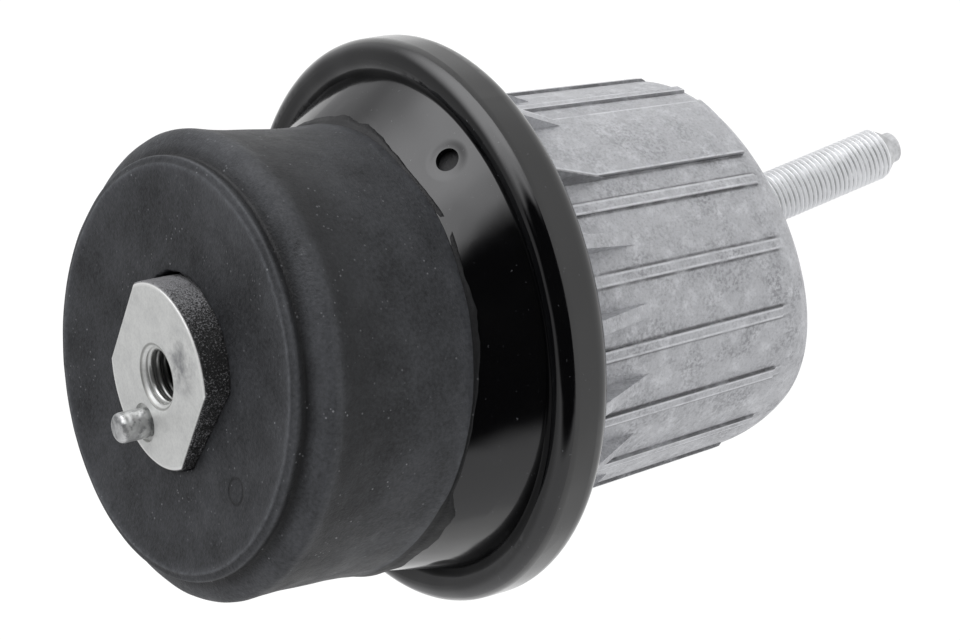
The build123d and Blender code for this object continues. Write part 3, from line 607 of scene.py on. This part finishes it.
def bright_zinc(settings):
    """Zinc-plated steel thread: bright crests, painted darker in patches near the thread's root."""
    material, add, place = start_material("bright_zinc_plate")
    out = (math.sin(SEAT_TILT), 0, -math.cos(SEAT_TILT))
    reach = distance_from_axis(add, place, tuple(STUD_PLACE / MM), out)
    root = settings.root
    # The thread is painted darker in patches near its root
    low = add(RANGE, {"Value": reach, "From Min": root + 0.34 * MM, "From Max": root + 0.05 * MM})
    root_darkening = add(MATH, {0: low, 1: mottle(add, place, 4, 0.25, 0.6)}, operation="MULTIPLY")
    root_darkening = add(MATH, {0: root_darkening, 1: 0.58}, operation="MULTIPLY")
    colour = add(MIX, {0: root_darkening, 6: settings.zinc, 7: settings.root_darkening}, 2, data_type="RGBA")
    gloss = add(RANGE, {"Value": mottle(add, place, 2.5, 0.4, 0.7), "To Min": 0.28, "To Max": 0.42})
    sockets = {"Base Color": colour, "Metallic": 0.25, "Roughness": gloss}
    add("ShaderNodeOutputMaterial", {0: add("ShaderNodeBsdfPrincipled", sockets)})
    return material


# Geometry


def drum_axes(tilt):
    """The leaning drum's own axis, and the direction across it that leans down."""
    return Vector((math.sin(tilt), 0, math.cos(tilt))), Vector((math.cos(tilt), 0, -math.sin(tilt)))


def rear_edge(angle):
    """Depth of the drum's rear edge, and the reach and flare of its flash, at an angle."""
    for (a, *first), (b, *second) in zip(REAR_EDGE, REAR_EDGE[1:]):
        if a <= angle <= b:
            share = (angle - a) / (b - a)
            return [p + (q - p) * share for p, q in zip(first, second)]
    raise RuntimeError("the rear edge has no value at this angle")


def nose_outline(angle, extra):
    """Distance of the nose's two-flat outline from the axis, at an angle, in millimetres."""
    flat = (NOSE_FLAT + extra) / max(abs(math.sin(angle - NOSE_TURN)), 1e-6)
    return min(NOSE_RADIUS + extra, flat)


def nose_gap(degrees_round):
    """The rubber hugs the nose, and gapes a little on the side towards +X and +Y."""
    opening = min(degrees_round / 14, (62 - degrees_round) / 14, 1)
    gape = max(0.0, opening) * (0.75 + 0.5 * noise.noise(Vector((degrees_round / 9, 3.0, 0.0))))
    return 0.07 + gape


def closed_mesh(name, points, faces):
    """A mesh of points in metres, with all its faces turned outwards."""
    data = bpy.data.meshes.new(name)
    data.from_pydata(points, [], faces)
    shape = bmesh.new()
    shape.from_mesh(data)
    bmesh.ops.recalc_face_normals(shape, faces=shape.faces)
    if shape.calc_volume(signed=True) < 0:
        bmesh.ops.reverse_faces(shape, faces=shape.faces)
    shape.to_mesh(data)
    shape.free()
    return data


def level_ring(size, height):
    """A ring square to the main axis."""
    return [Vector((size * math.cos(a), size * math.sin(a), height)) for a in DRUM_ANGLES]


def face_ring(tilt, sizes, depth):
    """A ring on the drum's leaning face, with a distance from the main axis for each angle."""
    ring = []
    for a, size in zip(DRUM_ANGLES, sizes):
        x, y = math.cos(a) * size, math.sin(a) * size
        height = Vector(DRUM_PIVOT).z + (DRUM_RISE - depth) / math.cos(tilt) - math.tan(tilt) * x
        ring.append(Vector((x, y, height)))
    return ring


def leaning_ring(tilt, sizes, depths):
    """A ring square to the drum's leaning axis, with a radius and a depth for each angle."""
    axis, across = drum_axes(tilt)
    ring = []
    for a, size, depth in zip(DRUM_ANGLES, sizes, depths):
        outward = across * math.cos(a) + Vector((0, 1, 0)) * math.sin(a)
        ring.append(Vector(DRUM_PIVOT) + axis * (DRUM_RISE - depth) + outward * size)
    return ring


def pocket_rings():
    """The pocket that the core stands in, from the core's tip up to the nose."""
    rings = [level_ring(*r) for r in ((8, 100.9), (9.6, 101.1), (11.2, 101.9), (12.6, 103.6))]
    for share in (0.25, 0.5, 0.75, 1.0):
        rings.append(level_ring(12.6 + (26.1 - 12.6) * share, 103.6 + (125.9 - 103.6) * share))
    rings += [level_ring(*r) for r in ((26.1, 130.1), (25.5, 131.5), (24.1, 132.1))]
    nose = []
    for a in DRUM_ANGLES:
        outward = Vector((math.cos(a), math.sin(a), 0))
        nose.append(outward * nose_outline(a, 0.4) + Vector((0, 0, 132.1)))
    return rings + [nose]


def face_rings(tilt):
    """The slot's wall up beside the nose, then the dished face."""
    gaps = [nose_gap(math.degrees(a)) for a in DRUM_ANGLES]
    rings = []
    for depth, extra in ((4.0, 0.0), (2.4, 0.0), (1.75, 0.06), (1.42, 0.22), (1.3, 0.5)):
        starts = [nose_outline(a, gap + extra) for a, gap in zip(DRUM_ANGLES, gaps)]
        rings.append(face_ring(tilt, starts, depth))
    for share in (0.12, 0.3, 0.5, 0.75, 1.0):
        rings.append(face_ring(tilt, [start + (26.0 - start) * share for start in starts], 1.3))
    return rings


def front_rings(tilt):
    """The crest, the groove and the bead, each a little wavy."""
    rings = []
    for size, depth, *_ in DRUM_FRONT:
        wave = [noise.noise(Vector((math.cos(a) * 4, math.sin(a) * 4, depth / 3))) for a in DRUM_ANGLES]
        rings.append(leaning_ring(tilt, [size + 0.08 * w for w in wave], [depth + 0.1 * w for w in wave]))
    return rings


def side_radius(depth):
    """Radius of the drum's waisted side at a depth under the crest, in millimetres."""
    low = 47.85 - 0.5 * math.sin(min(1.0, (depth - BEAD_END) / 8) * math.pi / 2)
    low -= 0.3 * math.exp(-(((depth - 29) / 7) ** 2))
    return low + 0.25 * max(0.0, (depth - 33) / 7)


def side_rings(tilt, ends):
    """The drum's side, from the bead to its rear edge."""
    rings = []
    for share in SIDE_SHARES:
        depths = [BEAD_END + (end - BEAD_END) * share for end in ends]
        rings.append(leaning_ring(tilt, [side_radius(depth) for depth in depths], depths))
    return rings


def flash_rings(tilt, base, edges):
    """A notch, then a thin ragged lip, then back under it to the slot for the collar's neck."""
    ends = [edge[0] for edge in edges]
    reach, flare = [], []
    for k, edge in enumerate(edges):
        rag = noise.noise(Vector((k / 5, 7.0, 0.0))) * 0.5
        rag += noise.noise(Vector((k / 1.7, 2.0, 4.0))) * 0.3
        rag += noise.noise(Vector((k / 0.9, 11.0, 1.0))) * 0.2
        reach.append(edge[1] * (1 + 0.6 * rag))
        flare.append(edge[2] * (1 + 0.6 * rag))
    rings = []
    for inset, out, under, along in (
        (0.05, 0.0, 0.12, 0.0),
        (0.32, 0.1, 0.3, 0.0),
        (0.1, 0.35, 0.3, 0.35),
        (0.0, 1.0, 0.3, 1.0),
        (0.22, 1.0, 0.42, 1.0),
        (0.45, 0.3, 0.6, 0.35),
    ):
        sizes = [base - inset + out * f for f in flare]
        rings.append(leaning_ring(tilt, sizes, [d + under + along * r for d, r in zip(ends, reach)]))
    for size, depth in ((46.8, 39.9), (46.8, 35.8), (44.1, 35.8), (44.1, 39.9)):
        rings.append(leaning_ring(tilt, [size] * DRUM_COLUMNS, [depth] * DRUM_COLUMNS))
    return rings


def plug_rings():
    """The plug inside the collar, the seal under the rim, and the chamber's roof."""
    plug = ((50.4, 88.2), (52.6, 86.0), (54.5, 86.7), (56.6, 87.25), (57.7, 86.6), (57.8, 85.0))
    chamber = ((50.0, 85.0), (43.0, 85.0), (43.0, 88.4), (34.0, 96.4), (25.0, 104.4))
    roof = ((21.6, 106.9), (18.5, 104.6), (12.0, 97.0))
    return [level_ring(size, height) for size, height in plug + chamber + roof]


def rubber_mesh(settings):
    """The whole rubber spring as one closed skin of rings, from the core's tip to the chamber roof."""
    tilt = settings.tilt
    axis, _ = drum_axes(tilt)
    edges = [rear_edge(math.degrees(a)) for a in DRUM_ANGLES]
    rings = pocket_rings() + face_rings(tilt)
    first_skin = len(rings)
    rings += front_rings(tilt) + side_rings(tilt, [edge[0] for edge in edges])
    last_skin = len(rings)
    rings += flash_rings(tilt, settings.radius / MM - 0.1, edges) + plug_rings()

    # Slow waves, along the axis on the face and outwards on the side
    points = [p for ring in rings for p in ring]
    pivot = Vector(DRUM_PIVOT)
    for index in range((first_skin - 6) * DRUM_COLUMNS, last_skin * DRUM_COLUMNS):
        place = points[index]
        slow = noise.noise(place / 13.0) + 0.4 * noise.noise(place / 4.0)
        on_side = index // DRUM_COLUMNS > first_skin + 12
        outward = (place - pivot).normalized() if on_side else axis
        points[index] = place + outward * slow * settings.unevenness / MM

    faces = []
    start, top = len(points), len(points) - DRUM_COLUMNS
    for row in range(0, top, DRUM_COLUMNS):
        for k in range(DRUM_COLUMNS):
            n = (k + 1) % DRUM_COLUMNS
            faces.append((row + k, row + n, row + DRUM_COLUMNS + n, row + DRUM_COLUMNS + k))
    points += [Vector((0, 0, 100.9)), Vector((0, 0, 97.0))]
    for k in range(DRUM_COLUMNS):
        n = (k + 1) % DRUM_COLUMNS
        faces.append((start, n, k))
        faces.append((start + 1, top + k, top + n))
    data = closed_mesh("rubber_drum", [tuple(p * MM) for p in points], faces)

    # Pale paint, partly wear and partly a painted highlight, and painted shade, ring by ring: the front,
    # the side, then the flash and the slot behind it
    # Painted shade on the waist behind the bead, fading along the side, and on the flash and the slot
    side_painted_shade = [max(0.0, 0.62 - 1.3 * share) for share in SIDE_SHARES]
    wear = [row[2] for row in DRUM_FRONT] + [0.0] * (len(SIDE_SHARES) - 2) + [0.2, 0.55]
    painted_shade = [row[3] for row in DRUM_FRONT] + side_painted_shade + [0.0] + [0.85] * 10
    for name, values in (("wear", wear), ("painted_shade", painted_shade)):
        store = data.attributes.new(name, "FLOAT", "POINT")
        for row, value in enumerate(values, first_skin):
            for k in range(DRUM_COLUMNS):
                store.data[row * DRUM_COLUMNS + k].value = value
    data.shade_smooth()
    return data


def wall_radius(height):
    """Outer radius of the cup's drafted wall at a height, both in millimetres."""
    return WALL_RADIUS - (WALL_HEIGHT - height) * WALL_DRAFT


def land_mesh(start, end, height, foot):
    """A raised land on the cup's wall between two angles, down to its foot, as one closed solid."""
    columns = max(2, round((end - start) / 1.5))
    top = 79.6
    levels = [foot + (top - foot) * k / 8 for k in range(9)]
    ring = [(wall_radius(z) - 2.0, z) for z in reversed(levels)]
    ring += [(wall_radius(z) + height, z + (0.8 if z == foot else 0.0)) for z in levels]
    points = []
    for k in range(columns + 1):
        angle = math.radians(start + (end - start) * k / columns)
        points += [(r * math.cos(angle) * MM, r * math.sin(angle) * MM, z * MM) for r, z in ring]
    size = len(ring)
    faces = [tuple(range(size)), tuple(columns * size + i for i in reversed(range(size)))]
    for k in range(columns):
        for i in range(size):
            n = (i + 1) % size
            faces.append((k * size + i, (k + 1) * size + i, (k + 1) * size + n, k * size + n))
    return closed_mesh("cast_land", points, faces)


def stud_tree():
    """A screw thread as a rule on a grid: radius from the helix, limited by the stud's profile."""
    tree, add, given = start_tree(
        "stud_thread",
        (
            ("Around", "Int"),
            ("Rows", "Int"),
            ("Pitch", "Float"),
            ("Crest Radius", "Float"),
            ("Root Radius", "Float"),
            ("Start", "Float"),
            ("Length", "Float"),
            ("Turn", "Float"),
            ("Place", "Vector"),
            ("Material", "Material"),
        ),
    )
    size = {"Size X": 1.0, "Size Y": 1.0, "Vertices X": given["Around"], "Vertices Y": given["Rows"]}
    grid = add("GeometryNodeMeshGrid", size)
    place = add("GeometryNodeInputPosition")
    x, y = [add("ShaderNodeSeparateXYZ", {0: place}, i) for i in range(2)]
    round_share = add(MATH, {0: x, 1: 0.5}, operation="ADD")
    along_share = add(MATH, {0: y, 1: 0.5}, operation="ADD")
    angle = add(MATH, {0: round_share, 1: 2 * math.pi}, operation="MULTIPLY")
    along = add(MATH, {0: along_share, 1: given["Length"], 2: given["Start"]}, operation="MULTIPLY_ADD")
    turns = add(MATH, {0: along, 1: given["Pitch"]}, operation="DIVIDE")
    phase = add(MATH, {0: turns, 1: round_share}, operation="SUBTRACT")
    tooth = add(MATH, {0: phase, 1: 0.5}, operation="PINGPONG")
    flank = {"Value": tooth, "From Min": 0.07, "From Max": 0.42}
    flank.update({"To Min": given["Root Radius"], "To Max": given["Crest Radius"]})
    helix = add(RANGE, flank)
    profile = tree.nodes.new("ShaderNodeFloatCurve")
    tree.links.new(along_share, profile.inputs["Value"])
    curve = profile.mapping.curves[0]
    while len(curve.points) < len(STUD_PROFILE):
        curve.points.new(0.5, 0.5)
    for point, (height, radius) in zip(curve.points, STUD_PROFILE):
        point.location = ((height - STUD_START) / STUD_LENGTH, radius / THREAD_RADIUS)
        point.handle_type = "VECTOR"
    profile.mapping.update()
    limit = add(MATH, {0: profile.outputs[0], 1: given["Crest Radius"]}, operation="MULTIPLY")
    reach = add(MATH, {0: helix, 1: limit}, operation="MINIMUM")
    bent = [
        add(MATH, {0: reach, 1: add(MATH, {0: angle}, operation=wave)}, operation="MULTIPLY")
        for wave in ("COSINE", "SINE")
    ]
    point = add("ShaderNodeCombineXYZ", {0: bent[0], 1: bent[1], 2: along})
    rolled = add("GeometryNodeSetPosition", {"Geometry": grid, "Position": point})
    welded = add("GeometryNodeMergeByDistance", {0: rolled, "Distance": 1e-6})
    turned = add("ShaderNodeCombineXYZ", {1: given["Turn"]})
    stand = {"Geometry": welded, "Translation": given["Place"], "Rotation": turned}
    end_tree(add, add("GeometryNodeTransform", stand), given["Material"])
    return tree


def hole_tree():
    """The tapped hole's ridge: a four-sided bar swept along a spiral on the hole's wall."""
    tree, add, given = start_tree(
        "hole_thread",
        (
            ("Radius", "Float"),
            ("Pitch", "Float"),
            ("Turns", "Float"),
            ("Depth", "Float"),
            ("Top", "Float"),
            ("Material", "Material"),
        ),
    )
    rise = {"Rotations": given["Turns"], "Height": given["Depth"], "Resolution": 64}
    rise.update({"Start Radius": given["Radius"], "End Radius": given["Radius"]})
    spiral = add("GeometryNodeCurveSpiral", rise)
    upright = add("GeometryNodeSetCurveNormal", {0: spiral}, mode="Z_UP")
    bar = add("GeometryNodeCurvePrimitiveCircle", {"Resolution": 4, "Radius": 1.0})
    half = add(MATH, {0: given["Pitch"], 1: 0.48}, operation="MULTIPLY")
    size = add("ShaderNodeCombineXYZ", {0: 0.85 * MM, 1: half, 2: 1.0})
    shaped = add("GeometryNodeTransform", {"Geometry": bar, "Scale": size})
    sweep = {"Curve": upright, "Profile Curve": shaped, "Fill Caps": True}
    lift = add("ShaderNodeCombineXYZ", {2: given["Top"]})
    stand = {"Geometry": add("GeometryNodeCurveToMesh", sweep), "Translation": lift}
    end_tree(add, add("GeometryNodeTransform", stand), given["Material"])
    return tree


# Operators


class MOUNT_OT_core(bpy.types.Operator):
    """Finish the core's nose, cut its thread and rub the dowel"""

    bl_idname = "mount.core"
    bl_label = "Core and dowel"

    def execute(self, context):
        settings = context.scene.mount_core
        dress("core", machined_aluminium(settings))
        dress("dowel_pin", ground_pin_steel(settings))
        thread = cut_thread_aluminium(settings)
        depth = settings.hole_depth
        data = run_tree(
            "core_thread",
            hole_tree(),
            {
                "Radius": settings.hole_radius,
                "Pitch": settings.hole_pitch,
                "Turns": depth / settings.hole_pitch,
                "Depth": depth,
                "Top": 145.3 * MM - depth,
                "Material": thread,
            },
        )
        new_piece("core_thread", data, thread, "machined_core")
        return {"FINISHED"}


class MOUNT_OT_rubber(bpy.types.Operator):
    """Mould the rubber drum with its crest, bead and flash"""

    bl_idname = "mount.rubber"
    bl_label = "Rubber drum"

    def execute(self, context):
        settings = context.scene.mount_rubber
        new_piece(
            "rubber_drum",
            rubber_mesh(settings),
            moulded_rubber(settings),
            "spring_rubber",
            "rubber_spring",
        )
        return {"FINISHED"}


class MOUNT_OT_collar(bpy.types.Operator):
    """Enamel the pressed collar"""

    bl_idname = "mount.collar"
    bl_label = "Collar"

    def execute(self, context):
        dress("collar", gloss_enamel(context.scene.mount_collar))
        return {"FINISHED"}


class MOUNT_OT_housing(bpy.types.Operator):
    """Give the cup its cast skin, with the smooth land and the rib beside it"""

    bl_idname = "mount.housing"
    bl_label = "Housing"

    def execute(self, context):
        skin = die_cast_aluminium(context.scene.mount_housing)
        dress("housing", skin)
        land = land_mesh(LAND_START, LAND_END, LAND_HEIGHT, 16.5)
        new_piece("cast_land", land, skin, "cast_aluminium")
        side_rib = land_mesh(SIDE_RIB_START, SIDE_RIB_END, LAND_HEIGHT, 17.0)
        new_piece("cast_side_rib", side_rib, skin, "cast_aluminium")
        return {"FINISHED"}


class MOUNT_OT_stud(bpy.types.Operator):
    """Roll the stud's thread"""

    bl_idname = "mount.stud"
    bl_label = "Stud"

    def execute(self, context):
        settings = context.scene.mount_stud
        zinc = bright_zinc(settings)
        data = run_tree(
            "stud_thread",
            stud_tree(),
            {
                "Around": 65,
                "Rows": 620,
                "Pitch": settings.pitch,
                "Crest Radius": settings.crest,
                "Root Radius": settings.root,
                "Start": STUD_START * MM,
                "Length": STUD_LENGTH * MM,
                "Turn": math.pi - SEAT_TILT,
                "Place": tuple(STUD_PLACE),
                "Material": zinc,
            },
        )
        data.shade_smooth()
        new_piece("stud_thread", data, zinc, "stud_zinc", "stud")
        return {"FINISHED"}


class MOUNT_OT_inner(bpy.types.Operator):
    """Finish the plates, the decoupler and the diaphragm inside"""

    bl_idname = "mount.inner"
    bl_label = "Inner pieces"

    def execute(self, context):
        plate = cast_plate()
        dress("lower_channel_plate", plate)
        dress("upper_channel_plate", plate)
        rubber = plain_rubber()
        dress("decoupler_membrane", rubber)
        dress("diaphragm", rubber)
        return {"FINISHED"}


def add_softbox(name, power):
    """A long softbox over the mount, from behind it to above the lens, that faces its middle."""
    lamp = bpy.data.lights.new(name, "AREA")
    lamp.shape = "RECTANGLE"
    lamp.size, lamp.size_y = SOFTBOX_SIDES
    lamp.energy = power
    direction = (CAMERA_RIGHT * -0.34 + CAMERA_UP * 0.88 + CAMERA_BACK * 0.22).normalized()
    side = CAMERA_BACK.cross(direction).normalized()
    turn = Matrix((side, direction.cross(side), direction)).transposed()
    light = bpy.data.objects.new(name, lamp)
    light.visible_glossy = False
    bpy.context.scene.collection.objects.link(light)
    stand = MOUNT_MIDDLE + direction * SOFTBOX_DISTANCE
    light.matrix_world = Matrix.Translation(stand) @ turn.to_4x4()


class MOUNT_OT_studio(bpy.types.Operator):
    """Set the photograph's camera, the softbox, the room and the floor"""

    bl_idname = "mount.studio"
    bl_label = "Studio"

    def execute(self, context):
        settings = context.scene.mount_studio
        scene = context.scene
        scene.view_settings.view_transform = "Standard"
        camera_data = bpy.data.cameras.new("photo_camera")
        camera_data.lens = CAMERA_LENS
        camera_data.sensor_width = CAMERA_SENSOR
        camera_data.sensor_fit = "HORIZONTAL"
        camera = bpy.data.objects.new("photo_camera", camera_data)
        scene.collection.objects.link(camera)
        turn = Matrix((CAMERA_RIGHT, CAMERA_UP, CAMERA_BACK)).transposed()
        camera.matrix_world = Matrix.Translation(CAMERA_PLACE) @ turn.to_4x4()
        scene.camera = camera

        add_softbox("overhead_softbox", settings.key)
        self.room(settings)
        self.floor(settings)
        return {"FINISHED"}

    def room(self, settings):
        """White to the camera and even to matt surfaces; what gloss mirrors is dark about the lens."""
        world = bpy.data.worlds.new("studio_room")
        bpy.context.scene.world = world
        world.use_nodes = True
        world.node_tree.nodes.clear()
        add = partial(add_node, world.node_tree)
        way = add("ShaderNodeTexCoord", output="Generated")
        facing = add(VECTOR, {0: way, 1: tuple(CAMERA_BACK)}, "Value", operation="DOT_PRODUCT")
        fall = {"Value": facing, "From Min": 0.5, "From Max": 0.66}
        fall.update({"To Min": settings.room, "To Max": 0.02})
        room = add(RANGE, fall, interpolation_type="SMOOTHSTEP")
        leftward = add(VECTOR, {0: way, 1: tuple(-CAMERA_RIGHT)}, "Value", operation="DOT_PRODUCT")
        dim = {"Value": leftward, "From Min": 0.55, "From Max": 0.9, "To Min": 1.0, "To Max": 0.55}
        dim = add(RANGE, dim, interpolation_type="SMOOTHSTEP")
        room = add(MATH, {0: room, 1: dim}, operation="MULTIPLY")
        overhead = CAMERA_RIGHT * -0.305 + CAMERA_UP * 0.835 + CAMERA_BACK * 0.458
        high = add(VECTOR, {0: way, 1: tuple(overhead)}, "Value", operation="DOT_PRODUCT")
        glow = {"Value": high, "From Min": 0.6, "From Max": 0.98, "To Max": settings.banner}
        glow = add(RANGE, glow, interpolation_type="SMOOTHSTEP")
        edge = {"Value": facing, "From Min": 0.72, "From Max": 0.86, "To Min": 1.0, "To Max": 0.0}
        edge = add(RANGE, edge, interpolation_type="SMOOTHSTEP")
        glow = add(MATH, {0: glow, 1: edge}, operation="MULTIPLY")
        mirrored = add(MATH, {0: room, 1: glow}, operation="ADD")
        is_gloss = add("ShaderNodeLightPath", output="Is Glossy Ray")
        level = add(MIX, {0: is_gloss, 2: settings.room, 3: mirrored}, 0)
        lit = add("ShaderNodeBackground", {"Color": linear("#FDFDFF"), "Strength": level})
        seen = add("ShaderNodeBackground", {"Color": linear("#FFFFFF"), "Strength": 1.0})
        is_seen = add("ShaderNodeLightPath", output="Is Camera Ray")
        add("ShaderNodeOutputWorld", {0: add("ShaderNodeMixShader", {0: is_seen, 1: lit, 2: seen})})

    def floor(self, settings):
        """A plain pale floor, white to the lens but for the mount's own shadow."""
        data = bpy.data.meshes.new("floor")
        span, drop = 3.0, -settings.floor_drop
        corners = [(-span, -span, drop), (span, -span, drop), (span, span, drop), (-span, span, drop)]
        data.from_pydata(corners, [], [(0, 1, 2, 3)])
        material, add, _ = start_material("matt_white_paper")
        matt = add("ShaderNodeBsdfDiffuse", {"Color": settings.floor})
        glow = add("ShaderNodeEmission", {"Color": linear("#FFFFFF"), "Strength": 1.12})
        seen = 0.0
        for ray in ("Is Camera Ray", "Is Glossy Ray", "Is Transmission Ray"):
            seen = add(MATH, {0: add("ShaderNodeLightPath", output=ray), 1: seen}, operation="MAXIMUM")
        share = add(MATH, {0: seen, 1: 0.8}, operation="MULTIPLY")
        front = add("ShaderNodeMixShader", {0: share, 1: matt, 2: glow})
        behind = add("ShaderNodeNewGeometry", output="Backfacing")
        clear = add("ShaderNodeBsdfTransparent")
        add("ShaderNodeOutputMaterial", {0: add("ShaderNodeMixShader", {0: behind, 1: front, 2: clear})})
        data.materials.append(material)
        floor = bpy.data.objects.new("floor", data)
        bpy.context.scene.collection.objects.link(floor)


class MOUNT_PT_panel(bpy.types.Panel):
    """Lists the mount's settings and the steps that dress it"""

    bl_idname = "MOUNT_PT_panel"
    bl_label = "Engine Mount"
    bl_space_type = "VIEW_3D"
    bl_region_type = "UI"
    bl_category = "Engine Mount"

    def draw(self, context):
        for name, operator in STEPS:
            box = self.layout.box()
            group = getattr(context.scene, "mount_" + name, None)
            if group:
                for key in group.__annotations__:
                    box.prop(group, key)
            box.operator(operator.bl_idname)


SETTINGS = {
    "mount_core": MOUNT_PG_core,
    "mount_rubber": MOUNT_PG_rubber,
    "mount_collar": MOUNT_PG_collar,
    "mount_housing": MOUNT_PG_housing,
    "mount_stud": MOUNT_PG_stud,
    "mount_studio": MOUNT_PG_studio,
}

STEPS = (
    ("studio", MOUNT_OT_studio),
    ("core", MOUNT_OT_core),
    ("rubber", MOUNT_OT_rubber),
    ("collar", MOUNT_OT_collar),
    ("housing", MOUNT_OT_housing),
    ("stud", MOUNT_OT_stud),
    ("inner", MOUNT_OT_inner),
)


def register():
    for name, group in SETTINGS.items():
        bpy.utils.register_class(group)
        setattr(bpy.types.Scene, name, PointerProperty(type=group))
    for _, operator in STEPS:
        bpy.utils.register_class(operator)
    bpy.utils.register_class(MOUNT_PT_panel)


def unregister():
    bpy.utils.unregister_class(MOUNT_PT_panel)
    for _, operator in reversed(STEPS):
        bpy.utils.unregister_class(operator)
    for name, group in SETTINGS.items():
        delattr(bpy.types.Scene, name)
        bpy.utils.unregister_class(group)


def main():
    register()
    bpy.ops.mount.studio()
    bpy.ops.mount.core()
    bpy.ops.mount.rubber()
    bpy.ops.mount.collar()
    bpy.ops.mount.housing()
    bpy.ops.mount.stud()
    bpy.ops.mount.inner()


if __name__ == "__main__":
    main()
